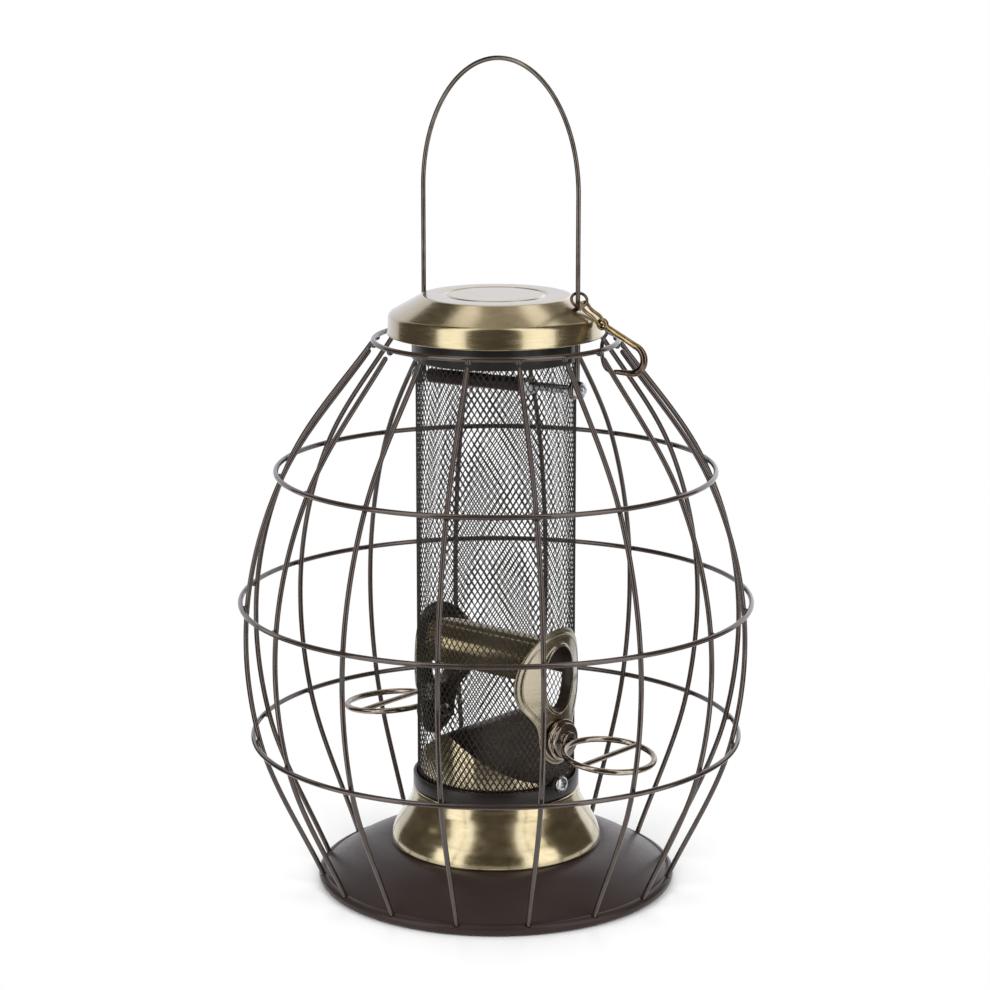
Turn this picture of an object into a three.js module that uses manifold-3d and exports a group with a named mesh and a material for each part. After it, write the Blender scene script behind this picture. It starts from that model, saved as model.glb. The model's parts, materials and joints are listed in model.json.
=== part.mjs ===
// A squirrel proof bird feeder: a mesh seed tube with two feeding ports, inside a round wire cage.
// Millimetres, +Z up. The origin is the middle of the foot, on the surface that the feeder stands on.
// The two ports look along +X and -X.
import * as THREE from "three";
import { mergeVertices } from "three/addons/utils/BufferGeometryUtils.js";
import Module from "manifold-3d";

const wasm = await Module();
wasm.setup();

// Shared clearances
const seatGap = 0.3; // between two pieces that rest on each other
const overrun = 5; // how far a cutter runs past what it cuts

// Cage: centre lines of its wires
const cageWire = 2.4;
const footWire = 3;
const neckRadius = 56.6;
const neckHeight = 260;
const upperHoopRadius = 102.5;
const upperHoopHeight = 199;
const middleHoopRadius = 120;
const middleHoopHeight = 137;
const lowerHoopRadius = 115;
const lowerHoopHeight = 72;
const footRadius = 82.3;
const ribCount = 16;
const ribTurn = THREE.MathUtils.degToRad(5.1);

// Tray
const traySheet = 0.8;
const trayDeckHeight = 18.6;
const trayDeckMargin = 6; // beyond the base cone's foot
const trayDeckBend = 6; // half the width of the bend into the slope

// Base cone
const baseSheet = 0.9;
const baseFootRadius = 50;
const baseHeight = 29.5;
const baseNeckHeight = 9; // upright stretch above the flare
const baseLip = 1.2; // upright edge at the foot
const baseFlareShare = 0.1; // how far out from the neck the flare's control point stands

// Seed tube
const meshRadius = 37.5;
const meshWall = 0.8;
const meshColumns = 12; // diamonds round the tube, larger than the real ones
const meshRows = 5; // diamonds from collar to collar
const meshStrand = 3; // width of the strands between the diamonds
const collarGrip = 11.3; // height of the bottom collar
const collarWall = 1.6;
const topCollarGrip = 10.3; // how far the tube reaches into the top collar
const topCollarWall = 1.2;
const topCollarLip = 2.3;
const topCollarHeight = 25.2;

// Lid
const lidSheet = 0.9;
const lidRadius = 50;
const lidBandRadius = 49.4; // where the shoulder meets the band
const lidTopRadius = 34.2;
const lidHeight = 18;
const lidBandHeight = 9.3;
const lidOverNeck = 3; // the lid's rim above the neck ring
const lidBeadRadius = 23;
const lidBeadWidth = 4;
const lidBeadDepth = 0.7;

// Bail and cross bolt
const bailTurn = THREE.MathUtils.degToRad(10);
const bailWire = 2.2;
const bailBesideCollar = 0.9; // gap between a leg of the bail and the top collar
const bailArchHeight = 60;
const bailOverLid = 107.5; // the arch's crown above the lid's top
const bailHoleGap = 0.5;
const eyeWrap = THREE.MathUtils.degToRad(235); // how far each end wraps the bolt
const boltRadius = 2;
const boltBelowCollar = 11.7;
const boltHeadRadius = 3.8;
const boltHeadHeight = 2.6;
const boltTail = 1.4; // thread beyond the nut
const nutRadius = 4.1; // over the corners of a small nut
const nutHeight = 3.2;
const lockNutHeight = 4.4;
const lockNutInset = 16; // between the lock nut and the tube's wall
const sleeveWall = 1.1;

// Feeding ports
const portOverBoss = 2.8; // gap between the perch's boss and the throat above it
const portHalfWidth = 10;
const portHalfHeight = 15.5;
const throatWall = 1.2;
const throatDepth = 3.3; // inside the tube's wall
const throatLip = 1; // outside the plate
const plateSheet = 1;
const plateHalfWidth = 23.3;
const plateShoulderDrop = 2.5; // of the plate's widest place below the middle of the port
const plateMargin = 7.3; // above the throat
const plateFootRadius = 12;
const plateOverCollar = 3; // gap between the plate's foot and the bottom collar
const hoodSheet = 0.8;
const hoodSkirt = 1; // the hood's edges below the middle of the throat

// Perches
const perchWire = 2.8;
const perchRingRadius = 20.9;
const perchBarWire = 2.4;
const perchStemRadius = 1.7;
const perchDroop = THREE.MathUtils.degToRad(5.4);
const bossRadius = 10;
const bossStepRadius = 8.4;
const bossHubRadius = 4.5;
const bossFlange = 2.2;
const bossStep = 2;
const bossHub = 2.2;

// Seed deflector in the foot of the tube
const deflectorSheet = 0.9;
const deflectorRidge = 30.8; // the ridge above the deck
const deflectorEave = 11.3; // the eaves above the deck
const deflectorRound = 4;

// Fasteners
const screwRadius = 1.5;
const screwHeadRadius = 3.3;
const screwHeadHeight = 2.2;
const screwHeight = 7.3; // above the deck
const screwLength = 6;
const baseBoltRadius = 2.5;
const baseBoltHeadRadius = 5;
const baseBoltHeadHeight = 3.6;
const wingHubRadius = 5;
const wingHubHeight = 5.5;
const wingReach = 12;
const wingDrop = 5;
const wingSheet = 1.8;
const baseBoltTail = 1.5;

// Clip that locks the lid to the cage
const clipSlope = THREE.MathUtils.degToRad(-40);
const clipRingRadius = 4.5;
const clipRingWire = 1.2;
const clipRingTilt = THREE.MathUtils.degToRad(35);
const clipRingRise = 4.5; // of the ring's middle over the lid's shoulder
const strapBar = 1.2;
const strapPitch = 13.7;
const strapHalfGap = 2.4;
const hookThickness = 3;
const hookBar = 2.6;
const hookLugRadius = 2.9;
const hookNoseRadius = 6.5;
const hookReach = 8;
const hookNoseDrop = 4; // of the nose's middle below the neck ring
const hookThroatGap = 1.4;
const gateBar = 1.6;

// Facets
const wireSides = 6;
const neckSpans = 2; // of the neck ring, between two ribs
const hoopSpans = 3; // of the other rings, between two ribs
const ribSpans = 3; // of a rib, from one ring to the next
const eyeSteps = 8;
const archSteps = 16;
const roundSegments = 40;
const smallSegments = 12;
const bossSegments = 18;
const arcDivisions = 2;
const rimSides = 8;

// Sizes that follow from the driving ones
const footHeight = footWire / 2 + seatGap + traySheet;
const ribInset = cageWire + seatGap;
const trayDeckRadius = baseFootRadius + trayDeckMargin;
const deckHeight = trayDeckHeight + seatGap + baseHeight; // top of the base cone
const meshInner = meshRadius - meshWall;
const meshFacets = 2 * meshColumns; // an edge runs up through the middle of each diamond
const meshFlat = meshInner * Math.cos(Math.PI / meshFacets); // least radius inside the faceted tube
const meshFoot = deckHeight + seatGap;
const collarInner = meshRadius + seatGap;
const collarRadius = collarInner + collarWall;
const baseNeckRadius = collarRadius + seatGap;
const lidRim = neckHeight + lidOverNeck;
const lidTop = lidRim + lidHeight;
const lidBandTop = lidRim + lidBandHeight;
const shoulderSlope = (lidTop - lidBandTop) / (lidBandRadius - lidTopRadius);
const topCollarRadius = collarInner + topCollarWall;
const bailHalfSpan = topCollarRadius + bailBesideCollar + bailWire / 2;
const topCollarTop = shoulderHeight(topCollarRadius) - (lidSheet + seatGap) * Math.hypot(1, shoulderSlope);
const topCollarFoot = topCollarTop - topCollarHeight;
const meshTop = topCollarFoot + topCollarGrip;
const boltHeight = topCollarFoot - boltBelowCollar;
const bailCrown = lidTop + bailOverLid;
const plateInner = meshRadius + seatGap;
const plateOuter = plateInner + plateSheet;
const throatHalfWidth = portHalfWidth + throatWall;
const throatHalfHeight = portHalfHeight + throatWall;
const perchHeight = meshFoot + collarGrip + plateOverCollar + plateFootRadius;
const portHeight = perchHeight + bossRadius + portOverBoss + throatHalfHeight;
const plateShoulderHeight = portHeight - plateShoulderDrop;
const plateTopHeight = portHeight + throatHalfHeight + plateMargin;
const stemHole = perchStemRadius + seatGap;
const screwHole = screwRadius + seatGap;
const boltHole = boltRadius + seatGap;
const bailOffset = boltHole + bailWire / 2; // the bail's legs pass beside the bolt
const baseBoltHole = baseBoltRadius + seatGap;
const screwLevel = deckHeight + screwHeight;

// Height of the lid's shoulder, outside, at a radius
function shoulderHeight(radius) {
  return lidTop - (radius - lidTopRadius) * shoulderSlope;
}

// Materials
const finish = (color, roughness, metalness) => new THREE.MeshStandardMaterial({ color, roughness, metalness });
const darkWire = finish(0x3a3130, 0.35, 0.6);
const darkSheet = finish(0x3b302c, 0.4, 0.5);
const darkMesh = finish(0x352d2b, 0.45, 0.6);
const brass = finish(0x8f7b45, 0.3, 1);
const perchBrass = finish(0x8a6f4a, 0.28, 1);
const steelWire = finish(0x6d6558, 0.25, 1);
const zinc = finish(0xb9bcc0, 0.3, 1);

// Turns a three.js geometry into a solid that can be cut and joined
function solid(geometry) {
  const bare = geometry.clone();
  bare.deleteAttribute("normal");
  bare.deleteAttribute("uv");
  const merged = mergeVertices(bare);
  return new wasm.Manifold(
    new wasm.Mesh({
      numProp: 3,
      vertProperties: merged.attributes.position.array,
      triVerts: new Uint32Array(merged.index.array),
    }),
  );
}

// Turns a solid back into a three.js geometry
function geometryOf(shape) {
  const mesh = shape.getMesh();
  const geometry = new THREE.BufferGeometry();
  geometry.setAttribute("position", new THREE.BufferAttribute(mesh.vertProperties, 3));
  geometry.setIndex(new THREE.BufferAttribute(mesh.triVerts, 1));
  geometry.computeVertexNormals();
  return geometry;
}

const part = new THREE.Group();

// Adds a named mesh, from a geometry or a solid, to a group
function add(name, shape, material, group = part) {
  const geometry = shape.isBufferGeometry ? shape : geometryOf(shape);
  const mesh = new THREE.Mesh(geometry, material);
  mesh.name = name;
  group.add(mesh);
  return mesh;
}

// Revolves a closed outline of radius and height round the Z axis
function revolve(outline, segments = roundSegments) {
  const loop = THREE.ShapeUtils.isClockWise(outline) ? [...outline].reverse() : [...outline];
  const onAxis = loop.findIndex((point, i) => point.x === 0 && loop.at(i - 1).x === 0);
  const profile = onAxis < 0 ? [...loop, loop[0].clone()] : [...loop.slice(onAxis), ...loop.slice(0, onAxis)];
  return new THREE.LatheGeometry(profile, segments).rotateX(Math.PI / 2);
}

// The outline of a sheet whose middle follows a line of points
function sheetOutline(middle, thickness) {
  const sides = [1, -1].map((side) =>
    middle.map((point, i) => {
      const before = middle[Math.max(i - 1, 0)];
      const after = middle[Math.min(i + 1, middle.length - 1)];
      const into = point.clone().sub(before).normalize();
      const out = after.clone().sub(point).normalize();
      const along = into.lengthSq() && out.lengthSq() ? into.clone().add(out).normalize() : into.add(out);
      const mitre = into.lengthSq() && out.lengthSq() ? along.dot(out) : 1;
      const normal = new THREE.Vector2(-along.y, along.x);
      const moved = point.clone().addScaledVector(normal, (side * thickness) / 2 / mitre);
      return point.x === 0 ? moved.setX(0) : moved;
    }),
  );
  return [...sides[0], ...sides[1].reverse()];
}

// Extrudes a shape of y and z along X, between two places
function extrudeX(shape, from, to, curveSegments = smallSegments) {
  const geometry = new THREE.ExtrudeGeometry(shape, { depth: to - from, bevelEnabled: false, curveSegments });
  const axes = new THREE.Matrix4().makeBasis(
    new THREE.Vector3(0, 1, 0),
    new THREE.Vector3(0, 0, 1),
    new THREE.Vector3(1, 0, 0),
  );
  return geometry.applyMatrix4(axes).translate(from, 0, 0);
}

// Extrudes a shape of x and z along Y, centred on the XZ plane
function extrudeY(shape, width, curveSegments = smallSegments) {
  const geometry = new THREE.ExtrudeGeometry(shape, { depth: width, bevelEnabled: false, curveSegments });
  return geometry.translate(0, 0, -width / 2).rotateX(Math.PI / 2);
}

const rodX = (radius, from, to, segments = smallSegments) =>
  new THREE.CylinderGeometry(radius, radius, to - from, segments).rotateZ(-Math.PI / 2).translate((from + to) / 2, 0, 0);
const rodY = (radius, from, to, segments = smallSegments) =>
  new THREE.CylinderGeometry(radius, radius, to - from, segments).translate(0, (from + to) / 2, 0);
const rodZ = (radius, from, to, segments = smallSegments) =>
  new THREE.CylinderGeometry(radius, radius, to - from, segments).rotateX(Math.PI / 2).translate(0, 0, (from + to) / 2);

// A pipe round the Z axis
function pipe(inner, outer, from, to, segments = roundSegments) {
  const outline = new THREE.Path()
    .moveTo(inner, from)
    .lineTo(outer, from)
    .lineTo(outer, to)
    .lineTo(inner, to);
  return revolve(outline.getPoints(), segments);
}

// A round wire ring in a level plane
const wireRing = (radius, wire, segments, sides = wireSides) =>
  new THREE.TorusGeometry(radius, wire / 2, sides, segments);

// A round wire along a curve
function wireAlong(curve, wire, steps, sides = wireSides) {
  const section = new THREE.Shape().absarc(0, 0, wire / 2, 0, 2 * Math.PI, false);
  return new THREE.ExtrudeGeometry(section, {
    steps,
    curveSegments: sides / 2,
    extrudePath: curve,
    bevelEnabled: false,
  });
}

// A path of straight steps, which an extrusion follows from one of its points to the next
class SteppedPath extends THREE.Curve {
  constructor(points) {
    super();
    this.points = points;
  }
  getPointAt(u, target = new THREE.Vector3()) {
    return target.copy(this.points[Math.round(u * (this.points.length - 1))]);
  }
  getTangentAt(u, target = new THREE.Vector3()) {
    const i = Math.round(u * (this.points.length - 1));
    const before = this.points[Math.max(i - 1, 0)];
    const after = this.points[Math.min(i + 1, this.points.length - 1)];
    const into = this.points[i].clone().sub(before).normalize();
    return target.subVectors(after, this.points[i]).normalize().add(into).normalize();
  }
}

// A six-sided nut or bolt head, lying along X, with or without a bore
function hexagon(radius, from, to, bore = 0) {
  const shape = new THREE.Shape(
    Array.from({ length: 6 }, (_, i) => new THREE.Vector2(radius, 0).rotateAround(new THREE.Vector2(), (i * Math.PI) / 3)),
  );
  if (bore) shape.holes.push(new THREE.Path().absarc(0, 0, bore, 0, 2 * Math.PI, true));
  return extrudeX(shape, from, to, smallSegments / 2);
}

const ellipseOutline = (halfWidth, halfHeight, height) =>
  new THREE.Shape().absellipse(0, height, halfWidth, halfHeight, 0, 2 * Math.PI, false);

// Cage: sixteen bent ribs, with the neck ring over their tops, three hoops outside and the foot ring at their feet
function makeCage() {
  const cage = new THREE.Group();
  cage.rotation.z = ribTurn;
  part.add(cage);
  const hoops = [
    ["cage_neck_ring", neckRadius, neckHeight, cageWire, neckSpans],
    ["cage_upper_hoop", upperHoopRadius, upperHoopHeight, cageWire, hoopSpans],
    ["cage_middle_hoop", middleHoopRadius, middleHoopHeight, cageWire, hoopSpans],
    ["cage_lower_hoop", lowerHoopRadius, lowerHoopHeight, cageWire, hoopSpans],
    ["cage_foot_ring", footRadius, footHeight, footWire, hoopSpans],
  ];
  for (const [name, radius, height, wire, spans] of hoops) {
    add(name, wireRing(radius, wire, ribCount * spans), darkWire, cage).position.z = height;
  }
  const places = [
    [footRadius, footHeight],
    [lowerHoopRadius - ribInset, lowerHoopHeight],
    [middleHoopRadius - ribInset, middleHoopHeight],
    [upperHoopRadius - ribInset, upperHoopHeight],
    [neckRadius, neckHeight],
  ];
  const line = new THREE.CatmullRomCurve3(places.map(([radius, height]) => new THREE.Vector3(radius, 0, height)));
  const ribSteps = ribSpans * (places.length - 1);
  const bends = line.getPoints(ribSteps);
  const footCut = new THREE.Vector3().subVectors(bends[1], bends[0]).setLength(footWire / 2 + seatGap);
  const neckCut = new THREE.Vector3().subVectors(bends.at(-2), bends.at(-1)).setLength(cageWire / 2 + seatGap);
  bends[0].add(footCut);
  bends.at(-1).add(neckCut);
  const shape = wireAlong(new SteppedPath(bends), cageWire, ribSteps);
  for (let i = 0; i < ribCount; i++) {
    const rib = add(`cage_rib_${String(i + 1).padStart(2, "0")}`, shape.clone(), darkWire, cage);
    rib.rotation.z = (i * 2 * Math.PI) / ribCount;
  }
}

// Tray: a domed sheet whose rim is rolled round the foot ring, notched where each rib meets the ring
function makeTray() {
  const roll = footWire / 2 + seatGap + traySheet / 2;
  const rim = new THREE.Vector2(footRadius, footHeight);
  const corners = Array.from({ length: rimSides - 2 }, (_, i) => {
    const angle = ((3 - 2 * i) * Math.PI) / rimSides;
    return new THREE.Vector2(roll / Math.cos(Math.PI / rimSides), 0).rotateAround(new THREE.Vector2(), angle).add(rim);
  });
  const deck = trayDeckHeight - traySheet / 2;
  const middle = [
    ...new THREE.Path()
      .moveTo(baseBoltHole, deck)
      .lineTo(trayDeckRadius - trayDeckBend, deck)
      .quadraticCurveTo(trayDeckRadius + trayDeckBend, deck, corners[0].x, corners[0].y)
      .getPoints(2 * arcDivisions),
    ...corners.slice(1),
  ];
  const sheet = solid(revolve(sheetOutline(middle, traySheet), ribCount * hoopSpans));
  const notches = Array.from({ length: ribCount }, (_, i) => {
    const size = roll + traySheet;
    const notch = new THREE.BoxGeometry(2 * size, cageWire + 2 * seatGap, size + seatGap);
    notch.translate(footRadius + seatGap, 0, footHeight + (size + seatGap) / 2);
    return solid(notch.rotateZ((i * 2 * Math.PI) / ribCount));
  });
  add("tray", notches.reduce((shape, notch) => shape.subtract(notch), sheet), darkSheet).rotation.z = ribTurn;
}

// Base cone: a flared brass foot with a flat deck, which carries the seed tube
function makeBase() {
  const foot = trayDeckHeight + seatGap;
  const neck = baseNeckRadius - baseSheet / 2;
  const flareTop = deckHeight - baseNeckHeight;
  const flareFoot = baseFootRadius - baseSheet / 2;
  const middle = new THREE.Path()
    .moveTo(baseBoltHole, deckHeight - baseSheet / 2)
    .lineTo(neck, deckHeight - baseSheet / 2)
    .lineTo(neck, flareTop)
    .quadraticCurveTo(
      THREE.MathUtils.lerp(neck, flareFoot, baseFlareShare),
      THREE.MathUtils.lerp(flareTop, foot, 0.5),
      flareFoot,
      foot + baseLip,
    )
    .lineTo(flareFoot, foot)
    .getPoints(2 * arcDivisions);
  add("base_cone", revolve(sheetOutline(middle, baseSheet)), brass);
}

// Bottom collar: a dark band round the foot of the mesh tube
function makeBottomCollar() {
  const band = solid(pipe(collarInner, collarRadius, meshFoot, meshFoot + collarGrip));
  const hole = solid(rodX(screwHole, -collarRadius - overrun, collarRadius + overrun).translate(0, 0, screwLevel));
  add("bottom_collar", band.subtract(hole), darkSheet);
}

// The mesh's diamond openings all round the tube, between the collars
function meshDiamonds() {
  const low = meshFoot + collarGrip;
  const pitch = (topCollarFoot - low) / meshRows;
  const columnTurn = (2 * Math.PI) / meshColumns;
  const cell = new THREE.Vector2(meshRadius * Math.sin(columnTurn / 2), pitch / 2);
  const openShare = 1 - (meshStrand * cell.length()) / (2 * cell.x * cell.y);
  const cutters = [];
  for (let row = 1; row < 2 * meshRows; row++) {
    const middle = low + (row * pitch) / 2;
    const diamond = new THREE.Shape()
      .moveTo(-cell.x * openShare, middle)
      .lineTo(0, middle - cell.y * openShare)
      .lineTo(cell.x * openShare, middle)
      .lineTo(0, middle + cell.y * openShare);
    for (let column = 0; column < meshColumns; column++) {
      const cutter = extrudeX(diamond, meshInner - overrun, meshRadius + overrun);
      cutters.push(cutter.rotateZ((column + (row % 2) / 2) * columnTurn));
    }
  }
  return cutters;
}

// Mesh tube, with its openings and a hole for each port, perch stem, collar screw and the cross bolt
function makeMeshTube() {
  const reach = meshRadius + overrun;
  const throat = (margin) =>
    extrudeX(ellipseOutline(throatHalfWidth + margin, throatHalfHeight + margin, portHeight), -reach, reach);
  const stem = (radius) => rodX(radius, -reach, reach).translate(0, 0, perchHeight);
  const screw = rodX(screwHole, -reach, reach).translate(0, 0, screwLevel);
  const bolt = (radius) => rodX(radius, -reach, reach).translate(0, 0, boltHeight).rotateZ(bailTurn);
  const holes = [throat(seatGap), stem(stemHole), screw, bolt(boltHole)].map(solid);
  const kept = [throat(meshStrand), stem(nutRadius + meshStrand), bolt(nutRadius + meshStrand)].map(solid);
  const openings = meshDiamonds()
    .map(solid)
    .filter((opening) => kept.every((seat) => opening.intersect(seat).isEmpty()));
  const wall = solid(pipe(meshInner, meshRadius, meshFoot, meshTop, meshFacets));
  const mesh = [...holes, ...openings].reduce((shape, cutter) => shape.subtract(cutter), wall);
  add("mesh_tube", mesh.asOriginal().simplify(), darkMesh);
}

// Top collar: the tube's mouth, with a shoulder over the mesh and a lip that narrows it
function makeTopCollar() {
  const shoulder = meshTop + seatGap;
  const mouth = collarInner - topCollarLip;
  const outline = new THREE.Path()
    .moveTo(collarInner, topCollarFoot)
    .lineTo(topCollarRadius, topCollarFoot)
    .lineTo(topCollarRadius, topCollarTop)
    .lineTo(mouth, topCollarTop)
    .lineTo(mouth, shoulder)
    .lineTo(collarInner, shoulder);
  add("top_collar", revolve(outline.getPoints()), darkSheet);
}

// Lid: a stamped cover with a plain ring bead on its top, and a hole for each leg of the bail
function makeLid() {
  const half = lidSheet / 2;
  const shoulderHalf = half * Math.hypot(1, shoulderSlope);
  const middle = new THREE.Path()
    .moveTo(0, lidTop - half)
    .lineTo(lidBeadRadius - lidBeadWidth / 2, lidTop - half)
    .quadraticCurveTo(lidBeadRadius, lidTop - half - 2 * lidBeadDepth, lidBeadRadius + lidBeadWidth / 2, lidTop - half)
    .lineTo(lidTopRadius, lidTop - shoulderHalf)
    .lineTo(lidBandRadius - half, lidBandTop - shoulderHalf)
    .lineTo(lidRadius - half, lidRim)
    .getPoints(arcDivisions + 1);
  const shell = solid(revolve(sheetOutline(middle, lidSheet)));
  const hole = rodZ(bailWire / 2 + bailHoleGap, lidRim, lidTop + overrun);
  const holes = [-1, 1].map((side) => {
    return solid(hole.clone().translate(side * bailHalfSpan, bailOffset, 0).rotateZ(bailTurn));
  });
  add("lid", shell.subtract(holes[0]).subtract(holes[1]), brass);
}

// Bail: an arch over two straight legs, each bent round the cross bolt in an eye
function makeBail(group) {
  const archFoot = bailCrown - bailArchHeight;
  const leg = Array.from({ length: eyeSteps + 1 }, (_, i) => {
    const angle = ((i - eyeSteps) * eyeWrap) / eyeSteps;
    const place = [bailOffset * Math.cos(angle), boltHeight + bailOffset * Math.sin(angle)];
    return new THREE.Vector3(bailHalfSpan, ...place);
  });
  const arch = Array.from({ length: archSteps + 1 }, (_, i) => {
    const angle = (i * Math.PI) / archSteps;
    const place = [bailHalfSpan * Math.cos(angle), bailOffset, archFoot + bailArchHeight * Math.sin(angle)];
    return new THREE.Vector3(...place);
  });
  const otherLeg = leg.map((point) => point.clone().setX(-bailHalfSpan)).reverse();
  const path = new SteppedPath([...leg, ...arch, ...otherLeg]);
  add("bail", wireAlong(path, bailWire, path.points.length - 1), steelWire, group);
}

// Cross bolt through the top of the tube, with its outer nut, a spacer sleeve and a lock nut inside
function makeCrossBolt(group) {
  const seat = bailHalfSpan + bailWire / 2 + seatGap;
  const tail = seat + nutHeight + boltTail;
  const outline = new THREE.Path()
    .moveTo(0, -seat - boltHeadHeight)
    .quadraticCurveTo(boltHeadRadius, -seat - boltHeadHeight, boltHeadRadius, -seat)
    .lineTo(boltRadius, -seat)
    .lineTo(boltRadius, tail)
    .lineTo(0, tail);
  const bolt = revolve(outline.getPoints(arcDivisions), smallSegments).rotateY(Math.PI / 2);
  const lockNutEnd = meshInner - lockNutInset;
  const sleeveEnd = lockNutEnd - lockNutHeight - seatGap;
  const sleeveRadius = boltHole + sleeveWall;
  const sleeveStart = seatGap - Math.sqrt(meshFlat ** 2 - sleeveRadius ** 2);
  const sleeve = pipe(boltHole, sleeveRadius, sleeveStart, sleeveEnd, smallSegments);
  add("cross_bolt", bolt, zinc, group).position.z = boltHeight;
  add("cross_bolt_nut", hexagon(nutRadius, seat, seat + nutHeight, boltHole), zinc, group).position.z = boltHeight;
  add("cross_bolt_sleeve", sleeve.rotateY(Math.PI / 2), darkSheet, group).position.z = boltHeight;
  const lockNut = hexagon(nutRadius, lockNutEnd - lockNutHeight, lockNutEnd, boltHole);
  add("cross_bolt_lock_nut", lockNut, zinc, group).position.z = boltHeight;
}

// Port plate: a pear-shaped sheet wrapped round the tube, with the port's throat and the perch's hole
function makePortPlate(name, group) {
  const outline = new THREE.Shape()
    .absellipse(0, plateShoulderHeight, plateHalfWidth, plateTopHeight - plateShoulderHeight, 0, Math.PI, false)
    .bezierCurveTo(
      -plateHalfWidth,
      THREE.MathUtils.lerp(plateShoulderHeight, perchHeight, 0.5),
      -plateFootRadius,
      THREE.MathUtils.lerp(plateShoulderHeight, perchHeight, 0.5),
      -plateFootRadius,
      perchHeight,
    )
    .absarc(0, perchHeight, plateFootRadius, Math.PI, 2 * Math.PI, false)
    .bezierCurveTo(
      plateFootRadius,
      THREE.MathUtils.lerp(plateShoulderHeight, perchHeight, 0.5),
      plateHalfWidth,
      THREE.MathUtils.lerp(plateShoulderHeight, perchHeight, 0.5),
      plateHalfWidth,
      plateShoulderHeight,
    );
  const low = perchHeight - plateFootRadius - overrun;
  const high = plateTopHeight + overrun;
  const reach = plateOuter + overrun;
  const wrapped = solid(pipe(plateInner, plateOuter, low, high)).intersect(solid(extrudeX(outline, 0, reach)));
  const throatOuter = ellipseOutline(throatHalfWidth, throatHalfHeight, portHeight);
  const throatBand = pipe(meshInner - throatDepth, plateOuter + throatLip, low, high);
  const throat = solid(throatBand).intersect(solid(extrudeX(throatOuter, 0, reach)));
  const opening = ellipseOutline(portHalfWidth, portHalfHeight, portHeight);
  const plate = wrapped
    .add(throat)
    .subtract(solid(extrudeX(opening, 0, reach)))
    .subtract(solid(rodX(stemHole, 0, reach).translate(0, 0, perchHeight)));
  add(name, plate, brass, group);
}

// Perch: a wire ring with a cross bar, on a stem that runs through the boss and the tube's wall
function makePerch(side, group) {
  const bossBack = plateOuter + seatGap;
  const stepFront = bossBack + bossFlange + bossStep;
  const hubFront = stepFront + bossHub;
  const boss = new THREE.Path()
    .moveTo(stemHole, bossBack)
    .lineTo(bossRadius, bossBack)
    .lineTo(bossRadius, bossBack + bossFlange)
    .lineTo(bossStepRadius, bossBack + bossFlange)
    .lineTo(bossStepRadius, stepFront)
    .lineTo(bossHubRadius, stepFront)
    .lineTo(bossHubRadius, hubFront)
    .lineTo(stemHole, hubFront);
  const bossShape = revolve(boss.getPoints(), bossSegments).rotateY(Math.PI / 2);
  add(`perch_boss_${side}`, bossShape, perchBrass, group).position.z = perchHeight;

  const nutEnd = Math.sqrt(meshFlat ** 2 - nutRadius ** 2) - seatGap;
  const stemStart = nutEnd - nutHeight - boltTail;
  const ringStart = hubFront + seatGap + perchWire / 2;
  const ring = wireRing(perchRingRadius, perchWire, 2 * smallSegments);
  const bar = rodY(perchBarWire / 2, -perchRingRadius, perchRingRadius, wireSides);
  const hoop = solid(ring).add(solid(bar));
  const drooped = hoop
    .translate([perchRingRadius, 0, 0])
    .rotate([0, THREE.MathUtils.radToDeg(perchDroop), 0])
    .translate([ringStart, 0, 0]);
  const stem = solid(rodX(perchStemRadius, stemStart, ringStart));
  add(`perch_${side}`, drooped.add(stem), perchBrass, group).position.z = perchHeight;
  const nut = hexagon(nutRadius, nutEnd - nutHeight, nutEnd, stemHole);
  add(`perch_nut_${side}`, nut, zinc, group).position.z = perchHeight;
}

// Collar screw: holds the bottom collar, the mesh and the deflector together
function makeCollarScrew(name, group) {
  const seat = collarRadius + seatGap;
  const outline = new THREE.Path()
    .moveTo(0, seat - screwLength)
    .lineTo(screwRadius, seat - screwLength)
    .lineTo(screwRadius, seat)
    .lineTo(screwHeadRadius, seat)
    .quadraticCurveTo(screwHeadRadius, seat + screwHeadHeight, 0, seat + screwHeadHeight);
  const screw = revolve(outline.getPoints(arcDivisions), smallSegments).rotateY(Math.PI / 2);
  add(name, screw, zinc, group).position.z = screwLevel;
}

// Hood: a half pipe that rests on both throats and keeps seed off the way from port to port
function makeHood() {
  const reach = meshInner - seatGap;
  const outer = ellipseOutline(
    throatHalfWidth + seatGap + hoodSheet,
    throatHalfHeight + seatGap + hoodSheet,
    portHeight,
  );
  outer.holes.push(ellipseOutline(throatHalfWidth + seatGap, throatHalfHeight + seatGap, portHeight));
  const crown = portHeight + throatHalfHeight + seatGap + hoodSheet;
  const above = rodZ(reach, portHeight - hoodSkirt, crown + overrun, meshFacets);
  add("hood_baffle", solid(extrudeX(outer, -reach, reach)).intersect(solid(above)), brass);
}

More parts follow.
